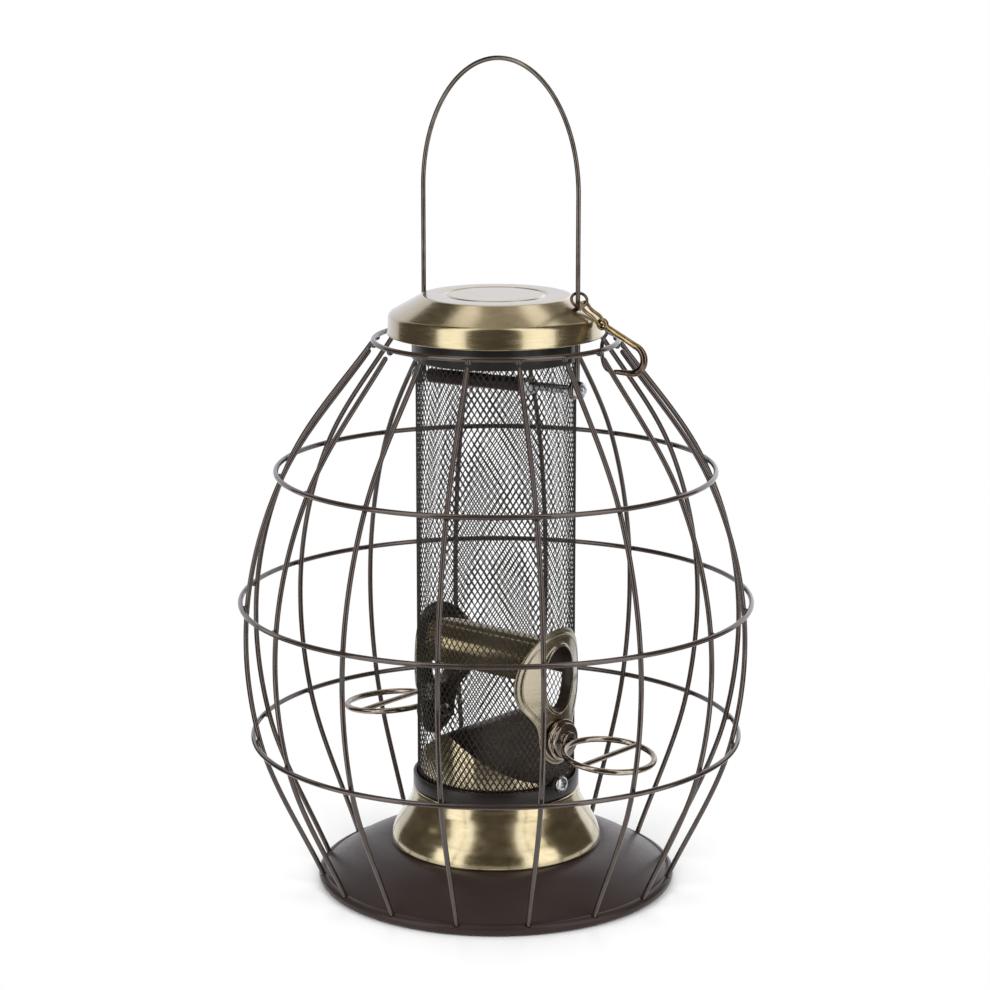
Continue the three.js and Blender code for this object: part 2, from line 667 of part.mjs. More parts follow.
// Deflector: a ridged roof on a round skirt, which sends the seed down to both ports
function makeDeflector() {
  const radius = meshInner - seatGap;
  const roof = (sink, foot) => {
    const ridge = meshFoot + deflectorRidge - sink;
    const eave = meshFoot + deflectorEave - sink;
    const fall = (ridge - eave) / radius;
    const shape = new THREE.Shape()
      .moveTo(-radius - overrun, foot)
      .lineTo(radius + overrun, foot)
      .lineTo(radius + overrun, eave - overrun * fall)
      .lineTo(deflectorRound, ridge - deflectorRound * fall)
      .quadraticCurveTo(0, ridge, -deflectorRound, ridge - deflectorRound * fall)
      .lineTo(-radius - overrun, eave - overrun * fall);
    return solid(extrudeY(shape, 2 * (radius + overrun), arcDivisions));
  };
  const top = meshFoot + deflectorRidge + overrun;
  const slope = Math.hypot(deflectorRidge - deflectorEave, radius) / radius;
  const outside = solid(rodZ(radius, meshFoot, top, meshFacets)).intersect(roof(0, meshFoot - overrun));
  const inside = solid(rodZ(radius - deflectorSheet, meshFoot - overrun, top, meshFacets)).intersect(
    roof(deflectorSheet * slope, meshFoot - 2 * overrun),
  );
  const screws = rodX(screwHole, -radius - overrun, radius + overrun).translate(0, 0, screwLevel);
  add("seed_deflector", outside.subtract(inside).subtract(solid(screws)), brass);
}

// Base bolt through the deck and the tray, and the wing nut that draws them together
function makeBaseBolt() {
  const nutTop = trayDeckHeight - traySheet - seatGap;
  const nutFoot = nutTop - wingHubHeight;
  const headFoot = deckHeight + seatGap;
  const shank = solid(rodZ(baseBoltRadius, nutFoot - baseBoltTail, headFoot + baseBoltHeadHeight));
  const head = rodZ(baseBoltHeadRadius, headFoot, headFoot + baseBoltHeadHeight, 6);
  add("base_bolt", shank.add(solid(head)), zinc);

  const wings = new THREE.Shape()
    .moveTo(-wingHubRadius, nutTop)
    .lineTo(-wingReach, nutFoot)
    .lineTo(-wingReach, nutFoot - wingDrop)
    .lineTo(-wingHubRadius, nutFoot)
    .lineTo(wingHubRadius, nutFoot)
    .lineTo(wingReach, nutFoot - wingDrop)
    .lineTo(wingReach, nutFoot)
    .lineTo(wingHubRadius, nutTop);
  const hub = solid(rodZ(wingHubRadius, nutFoot, nutTop)).add(solid(extrudeY(wings, wingSheet)));
  add("wing_nut", hub.subtract(solid(rodZ(baseBoltHole, nutFoot - overrun, nutTop + overrun))), zinc);
}

// Clip: a ring round one leg of the bail, a strap and a snap hook over the cage's neck ring
function makeClip(group) {
  const along = new THREE.Vector2(Math.cos(clipSlope), Math.sin(clipSlope));
  const ringPlace = new THREE.Vector2(bailHalfSpan, shoulderHeight(bailHalfSpan) + clipRingRise);
  const ring = wireRing(clipRingRadius, clipRingWire, 2 * smallSegments);
  ring.rotateX(clipRingTilt).rotateY(-clipSlope);
  add("clip_ring", ring, perchBrass, group).position.set(ringPlace.x, 0, ringPlace.y);

  const strapStart = clipRingRadius - clipRingWire / 2 - seatGap - strapBar / 2;
  const strapEnd = strapStart + strapPitch;
  const wide = strapHalfGap + strapBar;
  const strap = new THREE.Shape()
    .moveTo(strapStart - strapBar / 2, -strapHalfGap)
    .lineTo(strapStart + strapBar / 2, -wide)
    .lineTo(strapEnd - strapBar / 2, -wide)
    .lineTo(strapEnd + strapBar / 2, -strapHalfGap)
    .lineTo(strapEnd + strapBar / 2, strapHalfGap)
    .lineTo(strapEnd - strapBar / 2, wide)
    .lineTo(strapStart + strapBar / 2, wide)
    .lineTo(strapStart - strapBar / 2, strapHalfGap);
  const blank = new THREE.ExtrudeGeometry(strap, { depth: strapBar, bevelEnabled: false });
  const slot = new THREE.BoxGeometry(strapPitch - strapBar, 2 * strapHalfGap, 2 * strapBar + overrun);
  const loop = solid(blank.translate(0, 0, -strapBar / 2))
    .subtract(solid(slot.translate((strapStart + strapEnd) / 2, 0, 0)))
    .rotate([0, -THREE.MathUtils.radToDeg(clipSlope), 0]);
  add("clip_strap", loop, perchBrass, group).position.set(ringPlace.x, 0, ringPlace.y);

  const lug = ringPlace.clone().addScaledVector(along, strapEnd);
  const tip = new THREE.Vector2(
    neckRadius + (cageWire + hookBar) / 2 + hookThroatGap,
    neckHeight - hookNoseDrop - hookNoseRadius,
  );
  const nose = new THREE.Vector2(tip.x + hookReach, neckHeight - hookNoseDrop);
  const back = new THREE.Vector2(hookNoseRadius, 0).rotateAround(new THREE.Vector2(), Math.PI / 2 + clipSlope / 2);
  const spine = new THREE.Path()
    .moveTo(lug.x, lug.y)
    .lineTo(nose.x + back.x, nose.y + back.y)
    .absarc(nose.x, nose.y, hookNoseRadius, back.angle(), -Math.PI / 2, true)
    .lineTo(tip.x, tip.y)
    .getPoints(2 * arcDivisions);
  const distinct = spine.filter((point, i) => !i || point.distanceTo(spine[i - 1]) > seatGap);
  const lugHole = strapBar / Math.SQRT2 + seatGap;
  const hook = solid(extrudeY(new THREE.Shape(sheetOutline(distinct, hookBar)), hookThickness))
    .add(solid(rodY(hookLugRadius, -hookThickness / 2, hookThickness / 2).translate(lug.x, 0, lug.y)))
    .subtract(solid(rodY(lugHole, -hookThickness, hookThickness, wireSides + 2).translate(lug.x, 0, lug.y)));
  add("clip_hook", hook, perchBrass, group);

  const spineDirection = nose.clone().add(back).sub(lug).normalize();
  const spineNormal = new THREE.Vector2(spineDirection.y, -spineDirection.x);
  const gateTop = lug
    .clone()
    .addScaledVector(spineDirection, hookLugRadius + gateBar / 2 + seatGap)
    .addScaledVector(spineNormal, (hookBar + gateBar) / 2 + seatGap);
  const gateSide = neckRadius - cageWire / 2 - seatGap - gateBar;
  const gateEnd = tip.x - seatGap;
  const gate = new THREE.Path()
    .moveTo(gateTop.x, gateTop.y)
    .quadraticCurveTo(gateSide, neckHeight + hookNoseDrop, gateSide, neckHeight)
    .quadraticCurveTo(gateSide, tip.y, gateEnd - gateBar, tip.y)
    .lineTo(gateEnd, tip.y)
    .getPoints(arcDivisions);
  add("clip_gate", extrudeY(new THREE.Shape(sheetOutline(gate, gateBar)), hookThickness), darkWire, group);
}

makeCage();
makeTray();
makeBase();
makeBottomCollar();
makeMeshTube();
makeTopCollar();
makeLid();
makeHood();
makeDeflector();
makeBaseBolt();

const bailPlane = new THREE.Group();
bailPlane.rotation.z = bailTurn;
part.add(bailPlane);
makeBail(bailPlane);
makeCrossBolt(bailPlane);
const clip = new THREE.Group();
clip.position.y = bailOffset;
bailPlane.add(clip);
makeClip(clip);

for (const [side, turn] of [
  ["right", 0],
  ["left", Math.PI],
]) {
  const port = new THREE.Group();
  port.rotation.z = turn;
  part.add(port);
  makePortPlate(`port_plate_${side}`, port);
  makePerch(side, port);
  makeCollarScrew(`collar_screw_${side}`, port);
}

export default part;
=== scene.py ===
import json
import math

import bpy
import numpy as np
from mathutils import Matrix, Vector


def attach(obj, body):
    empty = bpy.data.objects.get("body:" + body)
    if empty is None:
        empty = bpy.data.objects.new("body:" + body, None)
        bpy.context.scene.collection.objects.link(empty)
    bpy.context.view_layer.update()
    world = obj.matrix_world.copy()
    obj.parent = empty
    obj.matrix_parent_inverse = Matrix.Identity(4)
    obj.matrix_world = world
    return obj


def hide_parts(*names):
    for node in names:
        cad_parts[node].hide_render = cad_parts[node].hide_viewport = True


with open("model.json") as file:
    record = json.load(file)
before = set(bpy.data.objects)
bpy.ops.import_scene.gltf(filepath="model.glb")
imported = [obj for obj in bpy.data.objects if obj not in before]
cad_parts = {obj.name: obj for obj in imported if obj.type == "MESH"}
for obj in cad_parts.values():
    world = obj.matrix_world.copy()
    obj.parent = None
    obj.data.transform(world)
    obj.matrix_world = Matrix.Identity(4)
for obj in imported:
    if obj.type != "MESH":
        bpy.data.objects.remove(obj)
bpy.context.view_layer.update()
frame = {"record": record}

# What the record says of each node
RECORD = frame["record"]
BODIES = {node: body for body, nodes in RECORD["behaviour"]["bodies"].items() for node in nodes}

# Sizes below are in millimetres and turned to metres by this factor when a mesh is made
MM = 0.001
SEAT_GAP = 0.3
SHARP_ANGLE = math.radians(42)
ON_AXIS = 1e-9

# Roundness of what is turned or bent
WIDE_SEGMENTS = 256
TUBE_SEGMENTS = 160
SMALL_SEGMENTS = 48
BOLT_SEGMENTS = 40
END_STEPS = 4
END_SHORT = 0.35
LIP_STEPS = 3
WELD_STEPS = 10
DOME_STEPS = 10
NUT_COLUMNS = 96

# The part of a noise's range over which most finishes change
TONE_SPAN = (0.3, 0.7)
# The smallest radius, in metres, that a finish divides by
SOME_RADIUS = 1e-5

# Camera
SENSOR = 36
LENS = 103.71
CAMERA_PLACE = (0.8363, -0.9967, 0.4752)
CAMERA_AIM = (0, 0, 0.1863)
CAMERA_SHIFT_SHARE = -0.001

# Cage. A ring or hoop is its radius and height
CAGE_WIRE = 2.4
FOOT_WIRE = 3
NECK_RING = (56.6, 260)
UPPER_HOOP = (102.5, 199)
MIDDLE_HOOP = (120, 137)
LOWER_HOOP = (115, 72)
FOOT_RING = (82.3, 2.6)
RIB_COUNT = 16
RIB_TURN = math.radians(5.1)
RIB_INSET = CAGE_WIRE + SEAT_GAP
RIB_STEPS = 16
RIB_FOOT_POINTS = 9
WELD_REACH = 1.5
WELD_HALF = 1.25
NECK_WELD_OUT = 0.2
NECK_WELD_DROP = 1
NECK_WELD_HALF = 1.5

# Tray
TRAY_SHEET = 0.8
TRAY_DECK = 18.6
TRAY_BORE = 2.8
TRAY_FLAT = 25
TRAY_BEND_START = 50
TRAY_BEND_CORNER = 62
TRAY_ROLL_START = math.radians(112)
TRAY_ROLL_END = math.radians(-170)

# Base cone
BASE_SHEET = 0.9
BASE_BORE = 2.8
BASE_FOOT_RADIUS = 50
BASE_FOOT = TRAY_DECK + SEAT_GAP
BASE_FOOT_EASE = 0.2
BASE_SHOULDER_ROUND = 1.2
DECK = 45.7
BASE_NECK_RADIUS = 39.7
# The bell below the deck's rounded edge, as radii and heights
BASE_BELL = [(39.8, 42.8), (40.8, 39.2), (43.1, 34.8), (46, 30.2), (48.3, 26), (49.6, 22.3), (50, 19.6)]

# Seed tube and its collars
MESH_RADIUS = 37.5
MESH_WALL = 0.8
MESH_INNER = MESH_RADIUS - MESH_WALL
MESH_FOOT = DECK + SEAT_GAP
MESH_TOP = 261.97
MESH_COLUMNS = 80
MESH_ROW = 4.65
MESH_SEED = 7
MESH_JITTER = 0.07
STRAND = 0.52
STRAND_DEPTH = 0.4
COLLAR_INNER = MESH_RADIUS + SEAT_GAP
COLLAR_RADIUS = 39.4
COLLAR_BAND = 6.8
COLLAR_ROUNDS = [0.3, 0.7, 0.7, 0.3]
COLLAR_TAB_RISE = 4.2
COLLAR_TAB_HALF = 5.4
COLLAR_TAB_EASE = 3
TOP_COLLAR_RADIUS = 39
TOP_COLLAR_FOOT = 251.67
TOP_COLLAR_TOP = 276.87
TOP_COLLAR_MOUTH = 35.5
TOP_COLLAR_ROUNDS = [0.2, 0.5, 0.8, 0.8, 0.4, 0.3]

# Lid
LID_SHEET = 0.9
LID_RADIUS = 50
LID_RIM = 263
LID_BAND_RADIUS = 49.4
LID_BAND_TOP = 272.3
LID_TOP_RADIUS = 34.2
LID_TOP = 281
LID_ROUNDS = [3.5, 2.4]
LID_SHOULDER_OUT = 0.4
LID_SHOULDER_UP = 0.2
LID_BEAD_RADIUS = 23
LID_BEAD_WIDTH = 4
LID_BEAD_DEPTH = 0.7
LID_LIP = 0.3
# The sheet's way into the lip: shares of its reach, and heights over the rim
LID_LIP_FALL = [(0, 1.3), (1 / 3, 0.9), (1, 0.6), (1, 0.3)]
LID_HOLE_GAP = 0.5
CUT_OVERRUN = 5

# Bail and cross bolt
BAIL_TURN = math.radians(10)
BAIL_WIRE = 2.2
BAIL_HALF_SPAN = 41
BAIL_ARCH_HEIGHT = 60
BAIL_CROWN = 388.5
BAIL_OFFSET = 3.4
BAIL_EYE_WRAP = math.radians(235)
BAIL_LEG_EASE = 4
BOLT_HEIGHT = 239.97
BOLT_RADIUS = 2
BOLT_BORE = BOLT_RADIUS + SEAT_GAP
BOLT_HEAD_RADIUS = 3.8
BOLT_HEAD_HEIGHT = 2.6
BOLT_SEAT = BAIL_HALF_SPAN + BAIL_WIRE / 2 + SEAT_GAP
BOLT_TAIL = 1.4
BOLT_TAIL_ROUND = 0.6
NUT_RADIUS = 4.1
NUT_HEIGHT = 3.2
LOCK_NUT_SPAN = (16.3, 20.7)
LOCK_NUT_COLLAR = 1.3
LOCK_NUT_COLLAR_RADII = (3.5, 3.3)
LOCK_NUT_ROUNDS = [0.1, 0.1, 0.5, 0.2]
SLEEVE_RADIUS = 3.4
SLEEVE_SPAN = (-35.9, 16)
SLEEVE_ROUNDS = [0.2, 0.4, 0.4, 0.2]

# Clip, in the plane of the bail: X outward, Z up
CLIP_PLACE = (BAIL_HALF_SPAN, 281.61)
CLIP_SLOPE = math.radians(40)
CLIP_RING_RADIUS = 3.6
CLIP_RING_WIRE = 1.4
CLIP_RING_TILT = math.radians(35)
CLIP_RING_SLIP = 0.9
STRAP_SPAN = (3, 16.7)
STRAP_WIRE = 1.6
STRAP_HALF_WIDTH = 3.1
STRAP_ROUND = 1.5
STRAP_STEP = 0.8
STRAP_WAVE = 0.35
STRAP_HALF_WAVE = 5
HOOK_LUG = (53.79, 270.87)
HOOK_LUG_RADIUS = 2.9
HOOK_LUG_BORE = 1.2
HOOK_SHOULDER = (70.72, 262.11)
HOOK_NOSE = (68.5, 256)
HOOK_NOSE_RADIUS = 6.5
HOOK_TIP = (60.5, 249.5)
HOOK_THICKNESS = 3
HOOK_SINK = 0.3
# The spine's radii at shares of its length, and the radius that is drawn out to the thickness
HOOK_SPINE_SHARES = [0, 0.45, 0.75, 1]
HOOK_SPINE_RADII = [1.3, 1.7, 1.75, 1.1]
HOOK_SPINE_MEAN = 1.6
GATE_LINE = [(56.24, 266.9), (53.5, 264), (53.5, 260), (53.5, 249.5), (58.6, 249.5), (60, 249.5)]
GATE_BAR = 1.4

# Threads and screws
THREAD_PITCH = 0.8
THREAD_DEPTH = 0.28
THREAD_CREST_SHARES = (0.4, 0.6)
THREAD_RUNOUT = 0.5
THREAD_ROOT_EASE = 0.2
THREAD_TIP_EASE = 0.4
NUT_CHAMFER = 0.3
NUT_FACE_SHARE = 0.96
HEAD_RIM = 0.5
SCREW_LEVEL = DECK + 7.3
SCREW_SEAT = COLLAR_RADIUS + SEAT_GAP
SCREW_RADIUS = 1.5
SCREW_HEAD_RADIUS = 3.9
SCREW_HEAD_HEIGHT = 2.2
SCREW_LENGTH = 6
SCREW_POINT = 0.6
RECESS_WIDTH = 1
RECESS_REACH = 2.2
RECESS_DEPTH = 1.3
RECESS_OVERRUN = 1
RECESS_TURN = math.radians(20)
BASE_BOLT_RADIUS = 2.5
BASE_BOLT_BORE = BASE_BOLT_RADIUS + SEAT_GAP
BASE_BOLT_HEAD_RADIUS = 5
BASE_BOLT_HEAD_HEIGHT = 3.6
BASE_BOLT_FOOT = 10.5
BASE_BOLT_POINT = 0.7
BASE_BOLT_DISH = 0.6
WING_HUB_RADIUS = 5
WING_HUB_TAPER = 1.2
WING_HUB_ROUNDS = [0.3, 0.6, 0.4, 0.4, 0.3]
WING_TOP = 17.5
WING_HUB_BAND = 1
WING_FOOT = 12
WING_REACH = 12
WING_DROP = 5
WING_TIP = 2
WING_INSET = 0.8
WING_ROUNDS = [0.3, 1.8, 1.8, 2.5, 0.3]
WING_SHEET = 1.8
WING_BEVEL = 0.35
WING_BEVEL_ANGLE = math.radians(35)

# Feeding ports
PORT_HEIGHT = 104.5
PORT_HALF_WIDTH = 10
PORT_HALF_HEIGHT = 15.5
THROAT_WALL = 1.2
THROAT_DEPTH = 3.3
THROAT_LIP = 1
# The throat's rolled lip: out from the opening, and down from the lip's top
THROAT_ROLL = [(0, 0.6), (0.18, 0.16), (0.6, 0), (1.02, 0.16), (THROAT_WALL, 0.6)]
# Out from the throat's wall, and up from the plate
THROAT_FILLET = [(0.35, 0.08), (0.7, 0), (1.1, 0)]
PLATE_INNER = MESH_RADIUS + SEAT_GAP
PLATE_OUTER = PLATE_INNER + 1
PLATE_HALF_WIDTH = 23.3
PLATE_SHOULDER_HEIGHT = 102
PLATE_TOP_HEIGHT = 128.5
PLATE_FOOT_RADIUS = 12
PLATE_BEAD_INSET = 2.7
PLATE_BEAD_HALF = 0.5
PLATE_BEAD_FLAT = 0.4
PLATE_BEAD_RISE = 0.28
PLATE_BEAD_SHARES = [(1, 0), (0.5, 0.7), (0, 1), (-0.5, 0.7), (-1, 0)]
# In from the plate's edge, and down from its outer face or up from its inner one
PLATE_EDGE_OUTER = [(0.8, 0), (0.5, 0), (0.12, 0.15), (0, 0.5)]
PLATE_EDGE_INNER = [(0.12, 0.15), (0.5, 0)]

# Hood and seed deflector
HOOD_SHEET = 0.8
HOOD_SKIRT = 1
DEFLECTOR_RIDGE = 79.5
DEFLECTOR_EAVE = 54
DEFLECTOR_SHEET = 0.9
DEFLECTOR_BEND = 4
DEFLECTOR_ROOF_NORMAL = 0.5

# Perches
PERCH_HEIGHT = 75
PERCH_WIRE = 2.8
PERCH_RING_RADIUS = 20.9
PERCH_BAR_WIRE = 2.4
PERCH_STEM_RADIUS = 1.7
PERCH_STEM_END = 27.5
PERCH_DROOP = math.radians(5.4)
BOSS_BORE = 2
# The boss's discs, as radii and tops over the plate
BOSS_DISCS = [(10, 2.2), (8.4, 4.2), (4.5, 6.4)]
BOSS_ROUNDS = [0.1, 0.5, 0.7, 0.2, 0.7, 0.3, 0.7, 0.1]
BOSS_FACE_RADIUS = 8.2
BOSS_FACE_NORMAL = 0.8

# Stage, in metres and a view's azimuths
FLOOR_HALF = 4
FLOOR_DROP = 0.0002
FLOOR_WHITE = (0.98, 0.98, 0.98, 1)
FLOOR_GLOW = 0.8
FLOOR_ROUGHNESS = 0.9
FLOOR_SHINE = 0.1
FLOOR_SHADOW_REACH = (0.1, 0.2)
WORLD_LIGHT = 0.75
STAGE_MIDDLE = 0.17
CARD_DISTANCE = 0.9
DARK = (0.1, 0.082, 0.066)
BRIGHT = (2.2, 2.15, 2.1)
OVERHEAD = (0.47, 0.43, 0.38)
OVERHEAD_DARK = (0.22, 0.19, 0.15)
OVERHEAD_FRONT = (0.42, 0.38, 0.32)
BEHIND = (0.92, 0.92, 1.0)
BESIDE = (1.35, 1.35, 1.43)
# What the polished metal sees: azimuths from and to, elevations from and to, light
CARDS = {
    "card_left": ((-82, -22), (-10, 76), DARK),
    "strip_left": ((-22, 9), (-10, 80), BRIGHT),
    "card_front": ((9, 67), (-10, 76), DARK),
    "strip_right": ((67, 103), (-10, 80), BRIGHT),
    "card_right": ((103, 158), (-10, 76), DARK),
    "card_beside": ((158, 212), (-10, 36), BESIDE),
    "card_back": ((212, 278), (-10, 36), BEHIND),
    "card_back_left": ((236, 272), (40, 61), DARK),
    "card_back_right": ((166, 199), (36, 55), OVERHEAD_DARK),
    "card_top": ((158, 278), (62, 90), OVERHEAD),
    "card_top_front": ((-82, 158), (80, 90), OVERHEAD_FRONT),
}
# The same light again low and near, for what stands under the cage's widest hoop
LOW_DISTANCE = 0.21
LOW_ELEVATIONS = (-8, 26)
LOW_CARDS = ("card_left", "strip_left", "card_front", "strip_right", "card_right")
# Two patches in the light overhead, which the lid's slope shows
PATCHES = {
    "patch_left": ((238, 258), (62, 72)),
    "patch_right": ((177, 197), (57, 67)),
}
PATCH_LIGHT = (1.9, 1.8, 1.7)
PATCH_DISTANCE = 0.87
# A small light card outside the cage, for the hood's middle
GLINT = (1.9, 1.8, 1.6)
GLINT_REACH = ((-52, -38), (7, 25))
GLINT_DISTANCE = 0.2
GLINT_MIDDLE = 0.11
# Azimuth, elevation, distance and size
LAMPS = {
    "lamp_right": (82, 35, 1.7, 0.9),
    "lamp_left": (-8, 35, 1.7, 0.9),
    "lamp_back": (220, 50, 1.8, 1.2),
}
LAMP_POWER = 9


def colour(code):
    """Linear colour of a six-figure hexadecimal code."""
    parts = [int(code[i : i + 2], 16) / 255 for i in (1, 3, 5)]
    linear = [part / 12.92 if part <= 0.04045 else ((part + 0.055) / 1.055) ** 2.4 for part in parts]
    return (*linear, 1)


# Objects. A part is its vertices and faces
def add_object(name, data):
    made = bpy.data.objects.new(name, data)
    bpy.context.scene.collection.objects.link(made)
    return made


def make_object(name, part, material=None, scale=MM):
    """A mesh object in the scene, its vertices turned to metres by the scale."""
    verts, faces = part
    mesh = bpy.data.meshes.new(name)
    mesh.from_pydata([tuple(v) for v in np.asarray(verts, dtype=float) * scale], [], faces)
    if material:
        mesh.materials.append(material)
    return add_object(name, mesh)


def make_piece(name, part, material, body):
    """A smooth piece of the object, sharp only at its real edges, which rides on a body."""
    piece = make_object(name, part, material)
    piece.data.shade_smooth()
    piece.data.set_sharp_from_angle(angle=SHARP_ANGLE)
    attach(piece, body)
    return piece


def dress(node, ending, part, material):
    """The piece that stands in for a CAD node, on the node's body; the node itself is hidden."""
    piece = make_piece(f"{node}_{ending}", part, material, BODIES[node])
    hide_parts(node)
    return piece


def cut(piece, part):
    """Cuts a part out of a piece for good."""
    cutter = make_object("cutter", part)
    modifier = piece.modifiers.new("holes", "BOOLEAN")
    modifier.operation = "DIFFERENCE"
    modifier.object = cutter
    modifier.solver = "EXACT"
    bpy.context.view_layer.update()
    depsgraph = bpy.context.evaluated_depsgraph_get()
    result = bpy.data.meshes.new_from_object(piece.evaluated_get(depsgraph))
    piece.modifiers.remove(modifier)
    piece.data = result
    bpy.data.objects.remove(cutter)


# Parts from parts
def joined(*parts):
    """Several parts as one."""
    verts, faces, start = [], [], 0
    for part_verts, part_faces in parts:
        verts.append(np.asarray(part_verts, dtype=float))
        faces.extend([tuple(i + start for i in face) for face in part_faces])
        start += len(part_verts)
    return np.vstack(verts), faces


def turned(part, angle, axis="Z"):
    """A part turned about an axis through the origin."""
    turn = np.array(Matrix.Rotation(angle, 3, axis))
    return np.asarray(part[0]) @ turn.T, part[1]


def moved(part, shift):
    """A part moved."""
    return np.asarray(part[0]) + np.asarray(shift, dtype=float), part[1]


def scaled(part, scale):
    """A part scaled along each axis."""
    return np.asarray(part[0]) * np.asarray(scale, dtype=float), part[1]


def laid(part, height, turn):
    """A part made along Z, laid along X at a height and turned about Z."""
    return turned(moved((np.asarray(part[0])[:, [2, 0, 1]], part[1]), (0, 0, height)), turn)


# Lines and outlines
def filleted(corners, radii, steps):
    """A line through corners, each rounded by an arc. One radius for each corner but the first and last."""
    corners = [np.array(corner, dtype=float) for corner in corners]
    line = [corners[0]]
    for before, corner, after, radius in zip(corners, corners[1:], corners[2:], radii):
        into = (before - corner) / np.linalg.norm(before - corner)
        out = (after - corner) / np.linalg.norm(after - corner)
        half = math.acos(max(-1, min(1, float(into @ out)))) / 2
        cut_back = radius / math.tan(half)
        middle = corner + (into + out) / np.linalg.norm(into + out) * radius / math.sin(half)
        start, end = corner + into * cut_back - middle, corner + out * cut_back - middle
        sweep = math.pi - 2 * half
        for share in np.arange(steps + 1) / steps:
            parts = math.sin((1 - share) * sweep) * start + math.sin(share * sweep) * end
            line.append(middle + parts / math.sin(sweep))
    line.append(corners[-1])
    return line


def rounded_loop(corners, radii, steps=4):
    """A closed outline with rounded corners, one radius for each corner."""
    return filleted([corners[-1], *corners, corners[0]], radii, steps)[1:-1]


def bezier(points, steps):
    """Points of a Bezier curve, without its start."""
    line = []
    for share in np.arange(1, steps + 1) / steps:
        level = [np.array(point, dtype=float) for point in points]
        while len(level) > 1:
            level = [(1 - share) * a + share * b for a, b in zip(level, level[1:])]
        line += level
    return line


def catmull_rom(points, steps):
    """A centripetal Catmull-Rom line through points, with steps to each span."""
    points = np.asarray(points, dtype=float)
    ends = np.vstack([2 * points[0] - points[1], points, 2 * points[-1] - points[-2]])
    line = []
    for i in range(len(points) - 1):
        p0, p1, p2, p3 = ends[i : i + 4]
        d0, d1, d2 = (np.linalg.norm(b - a) ** 0.5 for a, b in ((p0, p1), (p1, p2), (p2, p3)))
        t1 = ((p1 - p0) / d0 - (p2 - p0) / (d0 + d1) + (p2 - p1) / d1) * d1
        t2 = ((p2 - p1) / d1 - (p3 - p1) / (d1 + d2) + (p3 - p2) / d2) * d1
        for t in np.arange(steps) / steps:
            square, cube = t * t, t * t * t
            ahead = (3 * square - 2 * cube) * (p2 - p1) + (cube - square) * t2
            line.append(p1 + ahead + (cube - 2 * square + t) * t1)
    return np.array([*line, points[-1]])


def sheet_loop(middle, thickness):
    """The closed outline of a sheet along a middle line, with round ends."""
    middle = [np.array(point, dtype=float) for point in middle]
    ahead = np.array([*middle[1:], middle[-1]]) - np.array([middle[0], *middle[:-1]])
    tangents = ahead / np.linalg.norm(ahead, axis=1)[:, None]
    normals = np.stack([-tangents[:, 1], tangents[:, 0]], 1)
    half = thickness / 2

    def lip(i, sign):
        if middle[i][0] < ON_AXIS:
            return []
        angles = math.pi * np.arange(1, LIP_STEPS + 1) / (LIP_STEPS + 1)
        arc = [normals[i] * math.cos(a) + tangents[i] * math.sin(a) for a in angles]
        return [middle[i] + half * sign * step for step in arc]

    outline = [*(middle + normals * half), *lip(-1, 1), *(middle - normals * half)[::-1], *lip(0, -1)]
    return [(max(radius, 0), height) for radius, height in outline]


def signed_area(outline):
    """Twice the area in an outline, positive where it runs anticlockwise."""
    return sum(a[0] * b[1] - b[0] * a[1] for a, b in zip(outline, outline[1:] + outline[:1]))


# Parts from lines
def grid_faces(rows, columns, close_rows=False, close_columns=False):
    """Quads over rows x columns of vertices."""
    faces = []
    for i in range(rows if close_rows else rows - 1):
        a, b = i * columns, (i + 1) % rows * columns
        for j in range(columns if close_columns else columns - 1):
            k = (j + 1) % columns
            faces.append((a + j, a + k, b + k, b + j))
    return faces


def lathe(profile, segments):
    """A closed (radius, height) profile, or one that starts and ends on the axis, turned round Z."""
    profile = [(float(radius), float(height)) for radius, height in profile]
    if signed_area(profile) < 0:
        profile = profile[::-1]
    on_axis = [i for i, (radius, _) in enumerate(profile) if radius < ON_AXIS]
    if on_axis:
        start = next(i for i in on_axis if profile[i - 1][0] < ON_AXIS)
        profile = profile[start:] + profile[:start]
    angles = np.arange(segments) * 2 * np.pi / segments
    verts, rings = [], []
    for radius, height in profile:
        around = angles[:1] if radius < ON_AXIS else angles
        rings.append(range(len(verts), len(verts) + len(around)))
        verts.extend((radius * math.cos(a), radius * math.sin(a), height) for a in around)
    faces = []
    for low, high in zip(rings, rings[1:] + ([] if on_axis else rings[:1])):
        for j in range(segments):
            k = (j + 1) % segments
            corners = (low[j % len(low)], low[k % len(low)], high[k % len(high)], high[j % len(high)])
            faces.append(tuple(dict.fromkeys(corners)))
    return np.array(verts), faces


def tube(path, radii, sides=16, closed=False):
    """A round tube along a path, its radius one number or one for each point."""
    path = np.asarray(path, dtype=float)
    count = len(path)
    radii = np.broadcast_to(radii, count)
    tangents = np.roll(path, -1, 0) - np.roll(path, 1, 0) if closed else np.gradient(path, axis=0)
    tangents /= np.linalg.norm(tangents, axis=1)[:, None]
    side = np.cross(tangents[0], (0, 0, 1))
    if np.linalg.norm(side) < 1e-3:
        side = np.cross(tangents[0], (0, 1, 0))
    angles = np.arange(sides) * 2 * np.pi / sides
    verts = []
    for point, tangent, radius in zip(path, tangents, radii):
        side = side - tangent * (side @ tangent)
        side /= np.linalg.norm(side)
        other = np.cross(tangent, side)
        verts.append(point + radius * (np.outer(np.cos(angles), side) + np.outer(np.sin(angles), other)))
    faces = grid_faces(count, sides, close_rows=closed, close_columns=True)
    if closed:
        return np.vstack(verts), faces
    start, end, last = count * sides, count * sides + 1, (count - 1) * sides
    for j in range(sides):
        k = (j + 1) % sides
        faces.append((start, k, j))
        faces.append((end, last + j, last + k))
    return np.vstack([*verts, path[0], path[-1]]), faces


